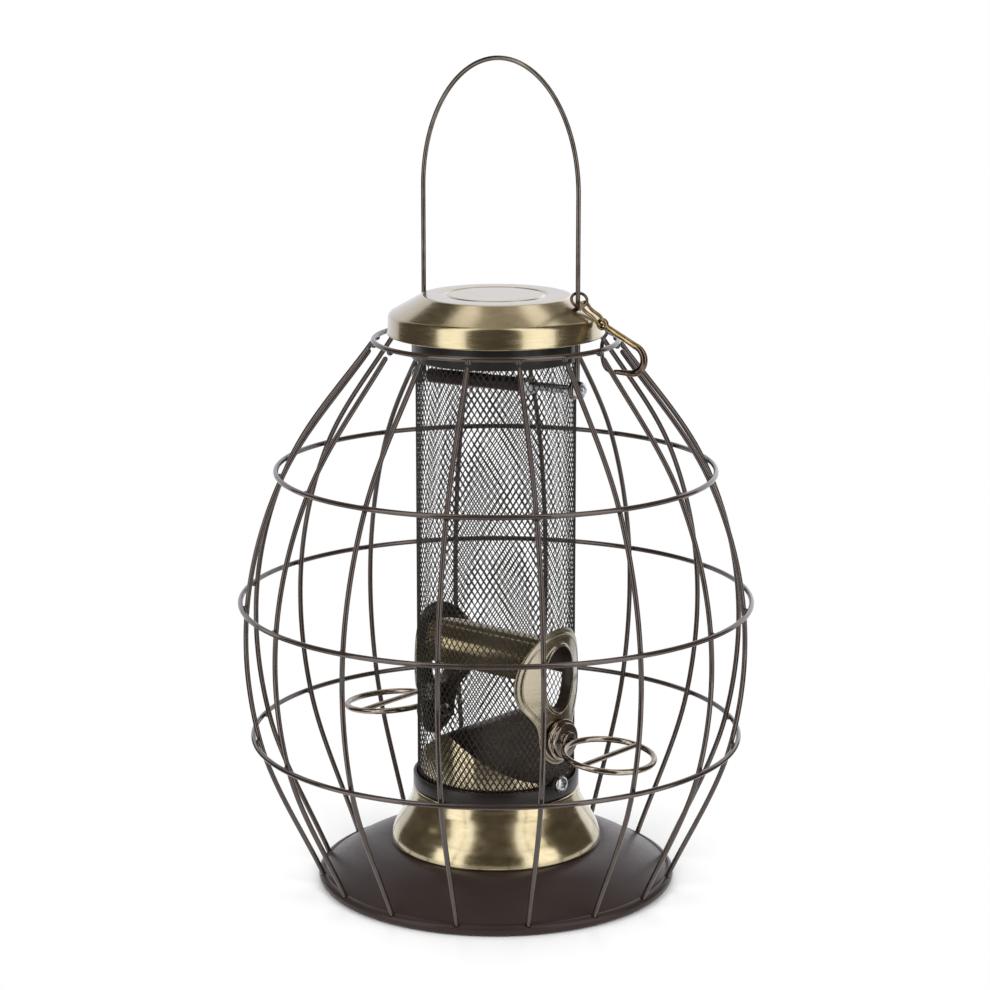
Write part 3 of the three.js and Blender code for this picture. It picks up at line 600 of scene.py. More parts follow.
def round_ended(path, radius):
    """A path and radii whose tube has half round ends."""
    path = [np.array(p, dtype=float) for p in path]
    start = (path[0] - path[1]) / np.linalg.norm(path[0] - path[1])
    end = (path[-1] - path[-2]) / np.linalg.norm(path[-1] - path[-2])
    # The last ring stops short of the pole, where a tube's own cap closes it
    angles = [math.pi / 2 * step / (END_STEPS + END_SHORT) for step in range(1, END_STEPS + 1)]
    head = [path[0] + start * radius * math.sin(a) for a in angles][::-1]
    tail = [path[-1] + end * radius * math.sin(a) for a in angles]
    sizes = [radius * math.cos(a) for a in angles]
    return np.array([*head, *path, *tail]), np.array([*sizes[::-1], *[radius] * len(path), *sizes])


def ring(radius, wire, segments=192, sides=16):
    """A round wire ring in a level plane."""
    angles = np.arange(segments) * 2 * np.pi / segments
    path = np.stack([np.cos(angles) * radius, np.sin(angles) * radius, np.zeros(segments)], 1)
    return tube(path, wire / 2, sides, closed=True)


def band(inner, outer, low, high, rounds, segments):
    """A ring of rectangular section with rounded corners."""
    corners = [(inner, low), (outer, low), (outer, high), (inner, high)]
    return lathe(rounded_loop(corners, rounds), segments)


def prism(outline, low, high):
    """A flat outline of (x, y) given a thickness along Z."""
    outline = [tuple(p) for p in outline]
    if signed_area(outline) < 0:
        outline = outline[::-1]
    count = len(outline)
    verts = [(x, y, z) for z in (low, high) for x, y in outline]
    faces = [tuple(range(count))[::-1], tuple(range(count, 2 * count))]
    return np.array(verts), faces + grid_faces(2, count, close_columns=True)


# Materials
def new_material(name):
    material = bpy.data.materials.new(name)
    material.use_nodes = True
    return material


def fill(tree, node, inputs):
    """Sets a node's inputs, each to a value or to what another node gives."""
    for socket, value in inputs.items():
        if isinstance(value, bpy.types.NodeSocket):
            tree.links.new(value, node.inputs[socket])
        else:
            node.inputs[socket].default_value = value


def add_node(tree, kind, inputs=None, **settings):
    made = tree.nodes.new(kind)
    for setting, value in settings.items():
        setattr(made, setting, value)
    fill(tree, made, inputs or {})
    return made


class Surface:
    """A material's node tree, with short calls for what the finishes share."""

    def __init__(self, name, base, roughness, metallic, **sockets):
        self.material = new_material(name)
        self.tree = self.material.node_tree
        self.show({"Base Color": colour(base), "Roughness": roughness, "Metallic": metallic})
        self.show({socket.replace("_", " "): value for socket, value in sockets.items()})
        self.place = self.add("ShaderNodeTexCoord").outputs["Object"]

    def add(self, kind, inputs=None, **settings):
        return add_node(self.tree, kind, inputs, **settings)

    def show(self, inputs):
        """Sets inputs of the material's shader."""
        fill(self.tree, self.tree.nodes["Principled BSDF"], inputs)

    def math(self, operation, one, two=0.0):
        return self.add("ShaderNodeMath", {0: one, 1: two}, operation=operation).outputs[0]

    def round_the_axis(self, grain, around):
        """Coordinates that follow a turned surface: fine across and up it, and broad around it."""
        x, y, z = self.add("ShaderNodeSeparateXYZ", {0: self.place}).outputs
        radius = self.math("SQRT", self.math("ADD", self.math("MULTIPLY", x, x), self.math("MULTIPLY", y, y)))
        some_radius = self.math("MAXIMUM", radius, SOME_RADIUS)
        sides = [self.math("MULTIPLY", self.math("DIVIDE", side, some_radius), around) for side in (x, y)]
        heights = self.math("ADD", self.math("MULTIPLY", z, grain), self.math("MULTIPLY", radius, grain))
        return self.add("ShaderNodeCombineXYZ", dict(enumerate([*sides, heights]))).outputs[0]

    def brushed(self, grain, across):
        """Coordinates that are fine in height and broad across."""
        inputs = {0: self.place, 1: (across, across, grain)}
        return self.add("ShaderNodeVectorMath", inputs, operation="MULTIPLY").outputs[0]

    def noise(self, scale, detail, roughness=0.55, place=None):
        inputs = {"Scale": scale, "Detail": detail, "Roughness": roughness, "Vector": place or self.place}
        return self.add("ShaderNodeTexNoise", inputs).outputs["Fac"]

    def mix(self, share, one, two):
        return self.add("ShaderNodeMix", {0: share, 6: one, 7: two}, data_type="RGBA").outputs[2]

    def paint(self, tone, dark, light, span=TONE_SPAN):
        """Goes from dark to light as the tone crosses the span."""
        ramp = self.add("ShaderNodeValToRGB", {"Fac": tone})
        for element, place, shade in zip(ramp.color_ramp.elements, span, (dark, light)):
            element.position = place
            element.color = colour(shade)
        self.show({"Base Color": ramp.outputs["Color"]})

    def roughen(self, tone, low, high):
        """Goes from one roughness to the other as the tone crosses its span."""
        start, end = TONE_SPAN
        inputs = {"Value": tone, "From Min": start, "From Max": end, "To Min": low, "To Max": high}
        self.show({"Roughness": self.add("ShaderNodeMapRange", inputs).outputs["Result"]})

    def bump(self, height, strength, distance):
        inputs = {"Height": height, "Strength": strength, "Distance": distance * MM}
        self.show({"Normal": self.add("ShaderNodeBump", inputs).outputs["Normal"]})


def painted_wire():
    """Dark bronze lacquer over round wire: glossy, a little uneven."""
    surface = Surface("cage_paint", "#41352f", 0.09, 0.45, IOR=1.9)
    surface.paint(surface.noise(120, 4), "#382d28", "#4a3e38")
    surface.roughen(surface.noise(500, 3), 0.07, 0.13)
    surface.bump(surface.noise(900, 2), 0.03, 0.06)
    return surface.material


def painted_sheet(name, base, light, coat, shine):
    """Dark enamel on spun sheet: broad soft unevenness and a fine grain."""
    surface = Surface(name, base, 0.32, 0.0, Coat_Weight=coat, Coat_Roughness=0.25, Specular_IOR_Level=shine)
    rings = surface.noise(1, 3, place=surface.round_the_axis(160, 3))
    surface.paint(surface.mix(0.35, surface.noise(30, 3), rings), base, light)
    surface.roughen(surface.noise(300, 3), 0.28, 0.36)
    surface.bump(surface.noise(1800, 2), 0.03, 0.05)
    return surface.material


def mesh_paint():
    """Dull dark paint on expanded metal."""
    surface = Surface("mesh_paint", "#1e1917", 0.4, 0.0, Specular_IOR_Level=0.3)
    surface.paint(surface.noise(400, 3), "#191412", "#262019", (0.35, 0.7))
    surface.roughen(surface.noise(900, 2), 0.35, 0.48)
    surface.bump(surface.noise(2600, 2), 0.1, 0.08)
    return surface.material


def antique_brass(name, light, dark, grain, roughness, turned_lines=True, coat=0.7, metallic=1.0):
    """Satin antiqued brass under clear lacquer: a faint patina over a turned or brushed grain."""
    surface = Surface(name, light, roughness, metallic, Coat_Weight=coat, Coat_Roughness=0.12, Coat_IOR=1.8)
    place = surface.round_the_axis(grain, 6) if turned_lines else surface.brushed(grain, grain * 0.12)
    lines = surface.noise(1, 4, place=place)
    surface.paint(surface.mix(0.6, surface.noise(60, 4, 0.6), lines), dark, light, (0.3, 0.66))
    surface.roughen(lines, roughness - 0.03, roughness + 0.05)
    surface.bump(lines, 0.03, 0.04)
    return surface.material


def polished_wire(name, light, dark, roughness):
    """Drawn and plated wire: bright, with faint drawing marks and darker patches."""
    surface = Surface(name, light, roughness, 1.0)
    surface.paint(surface.noise(160, 4, 0.6), dark, light, (0.35, 0.62))
    surface.roughen(surface.noise(900, 3), roughness - 0.05, roughness + 0.06)
    surface.bump(surface.noise(1400, 2), 0.05, 0.07)
    return surface.material


def zinc_plate():
    """Bright zinc with a faint spangle."""
    surface = Surface("zinc", "#c9ccd0", 0.25, 1.0)
    surface.paint(surface.noise(500, 3), "#9da3a8", "#d4d7da", (0.35, 0.65))
    surface.roughen(surface.noise(1200, 3), 0.18, 0.36)
    surface.bump(surface.noise(1800, 2), 0.1, 0.08)
    return surface.material


CAGE_PAINT = painted_wire()
TRAY_PAINT = painted_sheet("tray_paint", "#2e2422", "#362b28", coat=0.05, shine=0.16)
# The tray's enamel made darker for both collars: painted shade for the shadow under the lid
SHADED_COLLAR_PAINT = painted_sheet("collar_shade_paint", "#181312", "#201a18", coat=0.15, shine=0.2)
MESH_PAINT = mesh_paint()
LID_BRASS = antique_brass("lid_brass", "#b5a98b", "#a59870", 900, 0.22)
BASE_BRASS = antique_brass("base_brass", "#bdb190", "#a1946e", 700, 0.2)
PLATE_BRASS = antique_brass("plate_brass", "#8f8672", "#786f59", 700, 0.26, turned_lines=False)
HOOD_BRASS = antique_brass("hood_brass", "#b9ac8c", "#9c8f6f", 500, 0.14, False, metallic=0.95)
ROOF_BROWN = antique_brass("roof_brown", "#544a3f", "#433a31", 500, 0.24, False, coat=0.2)
# A darker copy of the brass that paints shade: it goes on the hood's underside and the ports' throats, where
# shade falls inside the tube
PAINTED_SHADE_BRASS = antique_brass("painted_shade", "#4e443a", "#3a3129", 500, 0.4, False, coat=0.1, metallic=0.6)
PERCH_BRONZE = polished_wire("perch_bronze", "#a2978a", "#82786d", 0.14)
BOSS_FACE = polished_wire("boss_face", "#8a8179", "#736b64", 0.26)
CLIP_GOLD = polished_wire("clip_gold", "#a8936c", "#7c6a4b", 0.15)
CLIP_BRONZE = polished_wire("clip_bronze", "#77675a", "#574a40", 0.15)
BAIL_STEEL = polished_wire("bail_steel", "#726c66", "#5c5751", 0.16)
ZINC = zinc_plate()


def add_finish(piece, material, chosen):
    """Gives a second finish to the faces that are chosen."""
    piece.data.materials.append(material)
    for face in piece.data.polygons:
        if chosen(face):
            face.material_index = 1


# Cage
def rib_line():
    """The line of one rib, in the plane of Y = 0, from the foot ring to the neck ring."""
    inside = [(radius - RIB_INSET, height) for radius, height in (LOWER_HOOP, MIDDLE_HOOP, UPPER_HOOP)]
    return catmull_rom([(radius, 0, height) for radius, height in (FOOT_RING, *inside, NECK_RING)], RIB_STEPS)


def at_ribs(part):
    """A part from the plane of Y = 0, once for each rib."""
    return [turned(part, RIB_TURN + i * 2 * math.pi / RIB_COUNT) for i in range(RIB_COUNT)]


def weld(place, reach, half):
    """A small smooth bead of weld: an ellipsoid round a place."""
    angles = np.linspace(0, math.pi, WELD_STEPS + 1)[1:-1]
    profile = [(0, -1), *[(math.sin(a), -math.cos(a)) for a in angles], (0, 1)]
    return moved(scaled(lathe(profile, 12), (reach, half, half)), place)


def make_cage():
    hoops = {
        "cage_neck_ring": NECK_RING,
        "cage_upper_hoop": UPPER_HOOP,
        "cage_middle_hoop": MIDDLE_HOOP,
        "cage_lower_hoop": LOWER_HOOP,
        "cage_foot_ring": FOOT_RING,
    }
    for node, (radius, height) in hoops.items():
        wire = FOOT_WIRE if node == "cage_foot_ring" else CAGE_WIRE
        dress(node, "wire", moved(ring(radius, wire), (0, 0, height)), CAGE_PAINT)
    rib = tube(*round_ended(rib_line()[:-1], CAGE_WIRE / 2), 14)
    for i, part in enumerate(at_ribs(rib)):
        dress(f"cage_rib_{i + 1:02d}", "wire", part, CAGE_PAINT)
    beads = [
        weld((radius - RIB_INSET / 2, 0, height), WELD_REACH, WELD_HALF)
        for radius, height in (LOWER_HOOP, MIDDLE_HOOP, UPPER_HOOP)
    ]
    neck_place = (NECK_RING[0] + NECK_WELD_OUT, 0, NECK_RING[1] - NECK_WELD_DROP)
    beads.append(weld(neck_place, WELD_REACH, NECK_WELD_HALF))
    make_piece("cage_welds", joined(*at_ribs(joined(*beads))), CAGE_PAINT, "root")


# Tray
def make_tray():
    roll = FOOT_WIRE / 2 + SEAT_GAP + TRAY_SHEET / 2
    deck = TRAY_DECK - TRAY_SHEET / 2
    angles = np.linspace(TRAY_ROLL_START, TRAY_ROLL_END, 34)
    curl = [(FOOT_RING[0] + roll * math.cos(a), FOOT_RING[1] + roll * math.sin(a)) for a in angles]
    middle = [(radius, deck) for radius in (TRAY_BORE, TRAY_FLAT, TRAY_BEND_START)]
    middle += [*bezier([middle[-1], (TRAY_BEND_CORNER, deck), curl[0]], 16), *curl[1:]]
    tray = dress("tray", "sheet", lathe(sheet_loop(middle, TRAY_SHEET), WIDE_SEGMENTS), TRAY_PAINT)
    foot = tube(*round_ended(rib_line()[:RIB_FOOT_POINTS], CAGE_WIRE / 2 + SEAT_GAP), 16)
    cut(tray, joined(*at_ribs(foot)))


# Base cone and collars
def make_base():
    half = BASE_SHEET / 2
    deck = DECK - half
    bell = catmull_rom([(radius - half, height) for radius, height in BASE_BELL], 6)
    corners = [(BASE_BORE, deck), (BASE_NECK_RADIUS - half, deck), bell[0]]
    middle = filleted(corners, [BASE_SHOULDER_ROUND], 6)
    middle += [*bell[1:], (BASE_FOOT_RADIUS - half, BASE_FOOT + BASE_FOOT_EASE)]
    dress("base_cone", "shell", lathe(sheet_loop(middle, BASE_SHEET), TUBE_SEGMENTS), BASE_BRASS)


def make_bottom_collar():
    """A band that rises to a small tab at each screw."""
    low, high = MESH_FOOT, MESH_FOOT + COLLAR_BAND
    verts, faces = band(COLLAR_INNER, COLLAR_RADIUS, low, high, COLLAR_ROUNDS, 320)
    for vert in verts:
        if vert[2] > (low + high) / 2:
            share = (COLLAR_TAB_HALF - abs(vert[1])) / COLLAR_TAB_EASE
            share = min(max(share, 0), 1)
            vert[2] += COLLAR_TAB_RISE * share * share * (3 - 2 * share)
    dress("bottom_collar", "band", (verts, faces), SHADED_COLLAR_PAINT)


def make_top_collar():
    shoulder = MESH_TOP + SEAT_GAP
    corners = [
        (COLLAR_INNER, TOP_COLLAR_FOOT),
        (TOP_COLLAR_RADIUS, TOP_COLLAR_FOOT),
        (TOP_COLLAR_RADIUS, TOP_COLLAR_TOP),
        (TOP_COLLAR_MOUTH, TOP_COLLAR_TOP),
        (TOP_COLLAR_MOUTH, shoulder),
        (COLLAR_INNER, shoulder),
    ]
    dress("top_collar", "mouth", lathe(rounded_loop(corners, TOP_COLLAR_ROUNDS), TUBE_SEGMENTS), SHADED_COLLAR_PAINT)


# Seed tube
def make_mesh_tube():
    """Expanded metal: a connected lattice of diamonds, with a hole for each port."""
    columns = MESH_COLUMNS * 2
    rows = 2 * round((MESH_TOP - MESH_FOOT) / MESH_ROW)
    step = (MESH_TOP - MESH_FOOT) / rows
    spin = 2 * math.pi / columns
    middle = MESH_RADIUS - MESH_WALL / 2
    outer, inner = middle + STRAND_DEPTH / 2, middle - STRAND_DEPTH / 2
    jitter = np.random.default_rng(MESH_SEED).normal(0, MESH_JITTER, (rows + 1, columns, 2))

    def corner(i, j):
        across, up = jitter[i, j % columns]
        return j * spin + across / outer, MESH_FOOT + i * step + up

    def in_port(angle, height):
        across = outer * math.sin(angle) / (PORT_HALF_WIDTH + THROAT_WALL + SEAT_GAP)
        up = (height - PORT_HEIGHT) / (PORT_HALF_HEIGHT + THROAT_WALL + SEAT_GAP)
        return across * across + up * up < 1

    verts, index = [], {}

    def vertex(key, radius, angle, height):
        if key not in index:
            index[key] = len(verts)
            verts.append((radius * math.cos(angle), radius * math.sin(angle), height))
        return index[key]

    lean = math.atan2(step, outer * spin)
    inset = STRAND / 2 / math.sin(lean) / (outer * spin)
    rise = STRAND / 2 / math.cos(lean) / step
    cells = {(i, j) for i in range(1, rows) for j in range(columns) if (i + j) % 2}
    cells = {(i, j) for i, j in cells if not in_port(*corner(i, j))}
    faces = []
    for i, j in sorted(cells):
        around = [(i, j + 1), (i + 1, j), (i, j - 1), (i - 1, j)]
        centre = corner(i, j)
        holes = []
        for k, (place, share) in enumerate(zip(around, (inset, rise, inset, rise))):
            angle, height = corner(*place)
            where = (angle + (centre[0] - angle) * share, height + (centre[1] - height) * share)
            holes.append(vertex(("hole", i, j, k), middle, *where))
        outs = [vertex(("out", a, b % columns), outer, *corner(a, b)) for a, b in around]
        ins = [vertex(("in", a, b % columns), inner, *corner(a, b)) for a, b in around]
        for k, (up, across) in enumerate([(1, 1), (1, -1), (-1, -1), (-1, 1)]):
            n = (k + 1) % 4
            faces.append((outs[k], outs[n], holes[n], holes[k]))
            faces.append((ins[n], ins[k], holes[k], holes[n]))
            if (i + up, (j + across) % columns) not in cells:
                faces.append((outs[n], outs[k], ins[k], ins[n]))
    dress("mesh_tube", "lattice", (verts, faces), MESH_PAINT)


# Lid
def make_lid():
    half = LID_SHEET / 2
    top = LID_TOP - half
    slope = (LID_TOP - LID_BAND_TOP) / (LID_BAND_RADIUS - LID_TOP_RADIUS)
    shoulder_half = half * math.hypot(1, slope)
    bead = [(0, top), (LID_BEAD_RADIUS - LID_BEAD_WIDTH, top)]
    for t in np.linspace(-1, 1, 17):
        dip = LID_BEAD_DEPTH * (0.5 + 0.5 * math.cos(math.pi * t))
        bead.append((LID_BEAD_RADIUS + t * LID_BEAD_WIDTH / 2, top - dip))
    lip = [(LID_RADIUS - half + LID_LIP * share, LID_RIM + height) for share, height in LID_LIP_FALL]
    corners = [
        bead[-1],
        (LID_TOP_RADIUS, LID_TOP - shoulder_half),
        (LID_BAND_RADIUS - half + LID_SHOULDER_OUT, LID_BAND_TOP - shoulder_half + LID_SHOULDER_UP),
        lip[0],
    ]
    middle = [*bead[:-1], *filleted(corners, LID_ROUNDS, 8), *lip[1:]]
    lid = dress("lid", "shell", lathe(sheet_loop(middle, LID_SHEET), WIDE_SEGMENTS), LID_BRASS)
    hole, over = BAIL_WIRE / 2 + LID_HOLE_GAP, LID_TOP + CUT_OVERRUN
    post = lathe([(0, LID_RIM), (hole, LID_RIM), (hole, over), (0, over)], 24)
    posts = [in_the_bail(moved(post, (side * BAIL_HALF_SPAN, 0, 0))) for side in (-1, 1)]
    cut(lid, joined(*posts))


# Bail and cross bolt
def in_the_bail(part):
    """A part from the plane of Y = 0, set in the plane of the bail's legs."""
    return turned(moved(part, (0, BAIL_OFFSET, 0)), BAIL_TURN)


def on_the_bolt(part):
    """A part made along Z, laid on the cross bolt."""
    return laid(part, BOLT_HEIGHT, BAIL_TURN)


def make_bail():
    arch_foot = BAIL_CROWN - BAIL_ARCH_HEIGHT
    eye = [
        (BAIL_HALF_SPAN, BAIL_OFFSET * (math.cos(a) - 1), BOLT_HEIGHT + BAIL_OFFSET * math.sin(a))
        for a in np.linspace(-BAIL_EYE_WRAP, 0, 25)
    ]
    heights = np.linspace(BOLT_HEIGHT + BAIL_LEG_EASE, arch_foot - BAIL_LEG_EASE, 8)
    half = eye + [(BAIL_HALF_SPAN, 0, z) for z in heights]
    arch = [
        (BAIL_HALF_SPAN * math.cos(a), 0, arch_foot + BAIL_ARCH_HEIGHT * math.sin(a))
        for a in np.linspace(0, math.pi, 49)
    ]
    other = [(-x, y, z) for x, y, z in half][::-1]
    bail = tube(*round_ended(half + arch + other, BAIL_WIRE / 2), 16)
    dress("bail", "wire", in_the_bail(bail), BAIL_STEEL)


# Feeding ports
def plate_outline():
    """The pear outline of a port plate as (across, height) points."""
    waist = (PLATE_SHOULDER_HEIGHT + PERCH_HEIGHT) / 2
    rise = PLATE_TOP_HEIGHT - PLATE_SHOULDER_HEIGHT
    points = [
        (PLATE_HALF_WIDTH * math.cos(a), PLATE_SHOULDER_HEIGHT + rise * math.sin(a))
        for a in np.linspace(0, math.pi, 48)
    ]
    left = [
        (-PLATE_HALF_WIDTH, PLATE_SHOULDER_HEIGHT),
        (-PLATE_HALF_WIDTH, waist),
        (-PLATE_FOOT_RADIUS, waist),
        (-PLATE_FOOT_RADIUS, PERCH_HEIGHT),
    ]
    points += bezier(left, 18)
    points += [
        (PLATE_FOOT_RADIUS * math.cos(a), PERCH_HEIGHT + PLATE_FOOT_RADIUS * math.sin(a))
        for a in np.linspace(math.pi, 2 * math.pi, 25)[1:]
    ]
    points += bezier([(-x, y) for x, y in left][::-1], 18)[:-1]
    return [np.array(point) for point in points]


def make_port_plate(side, turn):
    centre = np.array([0, PORT_HEIGHT])
    inner_edge = MESH_INNER - THROAT_DEPTH
    lip = PLATE_OUTER + THROAT_LIP
    loops = []
    outline = plate_outline()
    for i, point in enumerate(outline):
        direction = (point - centre) / np.linalg.norm(point - centre)
        along = outline[(i + 1) % len(outline)] - outline[i - 1]
        inward = np.array([-along[1], along[0]]) / np.linalg.norm(along)

        def wall(out):
            """The place on the throat's ellipse, made larger by out."""
            size = np.array([PORT_HALF_WIDTH + out, PORT_HALF_HEIGHT + out])
            return centre + direction / np.linalg.norm(direction / size)

        def edge(reach):
            """The place inside the plate's outline by reach."""
            return point + inward * reach

        outside = wall(THROAT_WALL)
        flat = PLATE_BEAD_HALF + PLATE_BEAD_FLAT
        section = [(wall(0), inner_edge)]
        section += [(wall(out), lip - drop) for out, drop in THROAT_ROLL]
        section += [(wall(THROAT_WALL + out), PLATE_OUTER + up) for out, up in THROAT_FILLET]
        section.append((edge(PLATE_BEAD_INSET + flat), PLATE_OUTER))
        section += [
            (edge(PLATE_BEAD_INSET + across * PLATE_BEAD_HALF), PLATE_OUTER + up * PLATE_BEAD_RISE)
            for across, up in PLATE_BEAD_SHARES
        ]
        section.append((edge(PLATE_BEAD_INSET - flat), PLATE_OUTER))
        section += [(edge(reach), PLATE_OUTER - drop) for reach, drop in PLATE_EDGE_OUTER]
        section += [(edge(reach), PLATE_INNER + up) for reach, up in PLATE_EDGE_INNER]
        section += [((outside + point) / 2, PLATE_INNER), (outside, PLATE_INNER), (outside, inner_edge)]
        loops.append([(math.sqrt(radius**2 - p[0] ** 2), p[0], p[1]) for p, radius in section])
    columns = len(loops[0])
    faces = grid_faces(len(loops), columns, close_rows=True, close_columns=True)
    plate = turned((np.array(loops).reshape(-1, 3), faces), turn)
    piece = dress(f"port_plate_{side}", "shell", plate, PLATE_BRASS)
    # The throat's inner wall and its inner end get the darker brass: painted shade
    add_finish(piece, PAINTED_SHADE_BRASS, lambda face: face.vertices[0] % columns in (0, columns - 1))


def make_perch(side, turn):
    back = PLATE_OUTER + SEAT_GAP
    corners, level = [(BOSS_BORE, back)], 0
    for radius, top in BOSS_DISCS:
        corners += [(radius, back + level), (radius, back + top)]
        level = top
    corners.append((BOSS_BORE, back + level))
    boss = laid(lathe(rounded_loop(corners, BOSS_ROUNDS), 96), PERCH_HEIGHT, turn)
    piece = dress(f"perch_boss_{side}", "discs", boss, PERCH_BRONZE)

    def on_the_face(face):
        across, up = face.center[1] / MM, face.center[2] / MM - PERCH_HEIGHT
        return abs(face.normal[0]) > BOSS_FACE_NORMAL and math.hypot(across, up) < BOSS_FACE_RADIUS

    add_finish(piece, BOSS_FACE, on_the_face)
    start = back + level + SEAT_GAP + PERCH_WIRE / 2
    hoop = ring(PERCH_RING_RADIUS, PERCH_WIRE, 128, 18)
    bar_path = [(0, y, 0) for y in np.linspace(-PERCH_RING_RADIUS, PERCH_RING_RADIUS, 9)]
    bar = tube(bar_path, PERCH_BAR_WIRE / 2, 16)
    loop = turned(moved(joined(hoop, bar), (PERCH_RING_RADIUS, 0, 0)), PERCH_DROOP, "Y")
    stem = tube([(x, 0, 0) for x in np.linspace(PERCH_STEM_END, start, 12)], PERCH_STEM_RADIUS, 20)
    perch = moved(joined(moved(loop, (start, 0, 0)), stem), (0, 0, PERCH_HEIGHT))
    dress(f"perch_{side}", "wire", turned(perch, turn), PERCH_BRONZE)


# Inside the tube
def make_hood():
    """A half pipe from port to port, whose ends follow the tube."""
    reach = MESH_INNER - SEAT_GAP
    half_width = PORT_HALF_WIDTH + THROAT_WALL + SEAT_GAP
    half_height = PORT_HALF_HEIGHT + THROAT_WALL + SEAT_GAP
    foot = math.asin(-HOOD_SKIRT / half_height)
    angles = np.linspace(foot, math.pi - foot, 49)
    shares = np.linspace(-1, 1, 25)
    verts = []
    for wall, angle in [(HOOD_SHEET, a) for a in angles] + [(0, a) for a in angles[::-1]]:
        y = (half_width + wall) * math.cos(angle)
        z = PORT_HEIGHT + (half_height + wall) * math.sin(angle)
        verts.extend((share * math.sqrt(reach**2 - y * y), y, z) for share in shares)
    count, columns = len(angles), len(shares)
    faces = [face[::-1] for face in grid_faces(2 * count, columns, close_rows=True)]
    for i in range(count - 1):
        rows = (i, i + 1, 2 * count - 2 - i, 2 * count - 1 - i)
        faces.append(tuple(row * columns for row in rows)[::-1])
        faces.append(tuple(row * columns + columns - 1 for row in rows))
    hood = dress("hood_baffle", "sheet", (verts, faces), HOOD_BRASS)
    # The hood's underside gets the darker brass: painted shade
    painted_shade = range(count * (columns - 1), (2 * count - 1) * (columns - 1))
    add_finish(hood, PAINTED_SHADE_BRASS, lambda face: face.index in painted_shade)


def make_deflector():
    """A drum whose roof falls from a ridge to an eave on each side, open below."""
    radius = MESH_INNER - SEAT_GAP
    fall = (DEFLECTOR_RIDGE - DEFLECTOR_EAVE) / radius
    sink = DEFLECTOR_SHEET * math.hypot(1, fall)

    def roof(x):
        if abs(x) > DEFLECTOR_BEND:
            return DEFLECTOR_RIDGE - abs(x) * fall
        return DEFLECTOR_RIDGE - DEFLECTOR_BEND * fall / 2 * (1 + x * x / DEFLECTOR_BEND**2)

    # The profile's top and underside are level until each place gets the roof's height
    shares = np.linspace(0, 1, 25)
    top, under = DEFLECTOR_RIDGE + 2, DEFLECTOR_RIDGE + 1
    profile = [(radius * share, top) for share in shares]
    profile += [(radius, MESH_FOOT), (radius - DEFLECTOR_SHEET, MESH_FOOT)]
    profile += [((radius - DEFLECTOR_SHEET) * share, under) for share in shares[::-1]]
    verts, faces = lathe(profile, TUBE_SEGMENTS)
    for vert in verts:
        if vert[2] > DEFLECTOR_RIDGE:
            vert[2] = roof(vert[0]) - (sink if vert[2] < top else 0)
    piece = dress("seed_deflector", "sheet", (verts, faces), HOOD_BRASS)
    add_finish(piece, ROOF_BROWN, lambda face: face.normal[2] > DEFLECTOR_ROOF_NORMAL)


# Fasteners
def threaded(radius, low, high):
    """The (radius, height) points of a thread, crest by crest from low to high."""
    count = round((high - low) / THREAD_PITCH)
    step = (high - low) / count
    points = []
    for start in low + np.arange(count) * step:
        crest = [(radius, start + step * share) for share in THREAD_CREST_SHARES]
        points += [(radius - THREAD_DEPTH, start), *crest]
    return [*points, (radius - THREAD_DEPTH, high)]


def hex_nut(radius, low, high, bore):
    """A six-sided nut along Z, with chamfered corners and bore."""
    flat = radius * math.cos(math.pi / 6)
    angles = np.arange(NUT_COLUMNS) * 2 * math.pi / NUT_COLUMNS
    rims = flat / np.cos((angles + math.pi / 6) % (math.pi / 3) - math.pi / 6)
    face = flat * NUT_FACE_SHARE
    drops = (rims - face) * math.tan(math.pi / 6)
    even = np.ones(NUT_COLUMNS)
    rows = [
        (even * (bore + NUT_CHAMFER), even * low),
        (even * face, even * low),
        (rims, low + drops),
        (rims, high - drops),
        (even * face, even * high),
        (even * (bore + NUT_CHAMFER), even * high),
        (even * bore, even * (high - NUT_CHAMFER)),
        (even * bore, even * (low + NUT_CHAMFER)),
    ]
    verts = [np.stack([radii * np.cos(angles), radii * np.sin(angles), levels], 1) for radii, levels in rows]
    return np.vstack(verts), grid_faces(len(rows), NUT_COLUMNS, close_rows=True, close_columns=True)


def pan_head(radius, seat, height):
    """The (radius, height) points of a domed head from its seat to the axis."""
    angles = np.linspace(0, math.pi / 2, DOME_STEPS)[:-1]
    rise = height - HEAD_RIM
    dome = [(radius * math.cos(a), seat + HEAD_RIM + rise * math.sin(a)) for a in angles]
    return [(radius, seat), *dome, (0, seat + height)]


def cut_recess(piece, top, put):
    """Cuts a cross-shaped recess into a screw's head. The screw is made along Z and then put in place."""
    wide, reach = RECESS_WIDTH / 2, RECESS_REACH
    corners = [(-reach, -wide), (reach, -wide), (reach, wide), (-reach, wide)]
    arm = prism(corners, top - RECESS_DEPTH, top + RECESS_OVERRUN)
    for turn in (0, math.pi / 2):
        cut(piece, put(turned(arm, turn)))


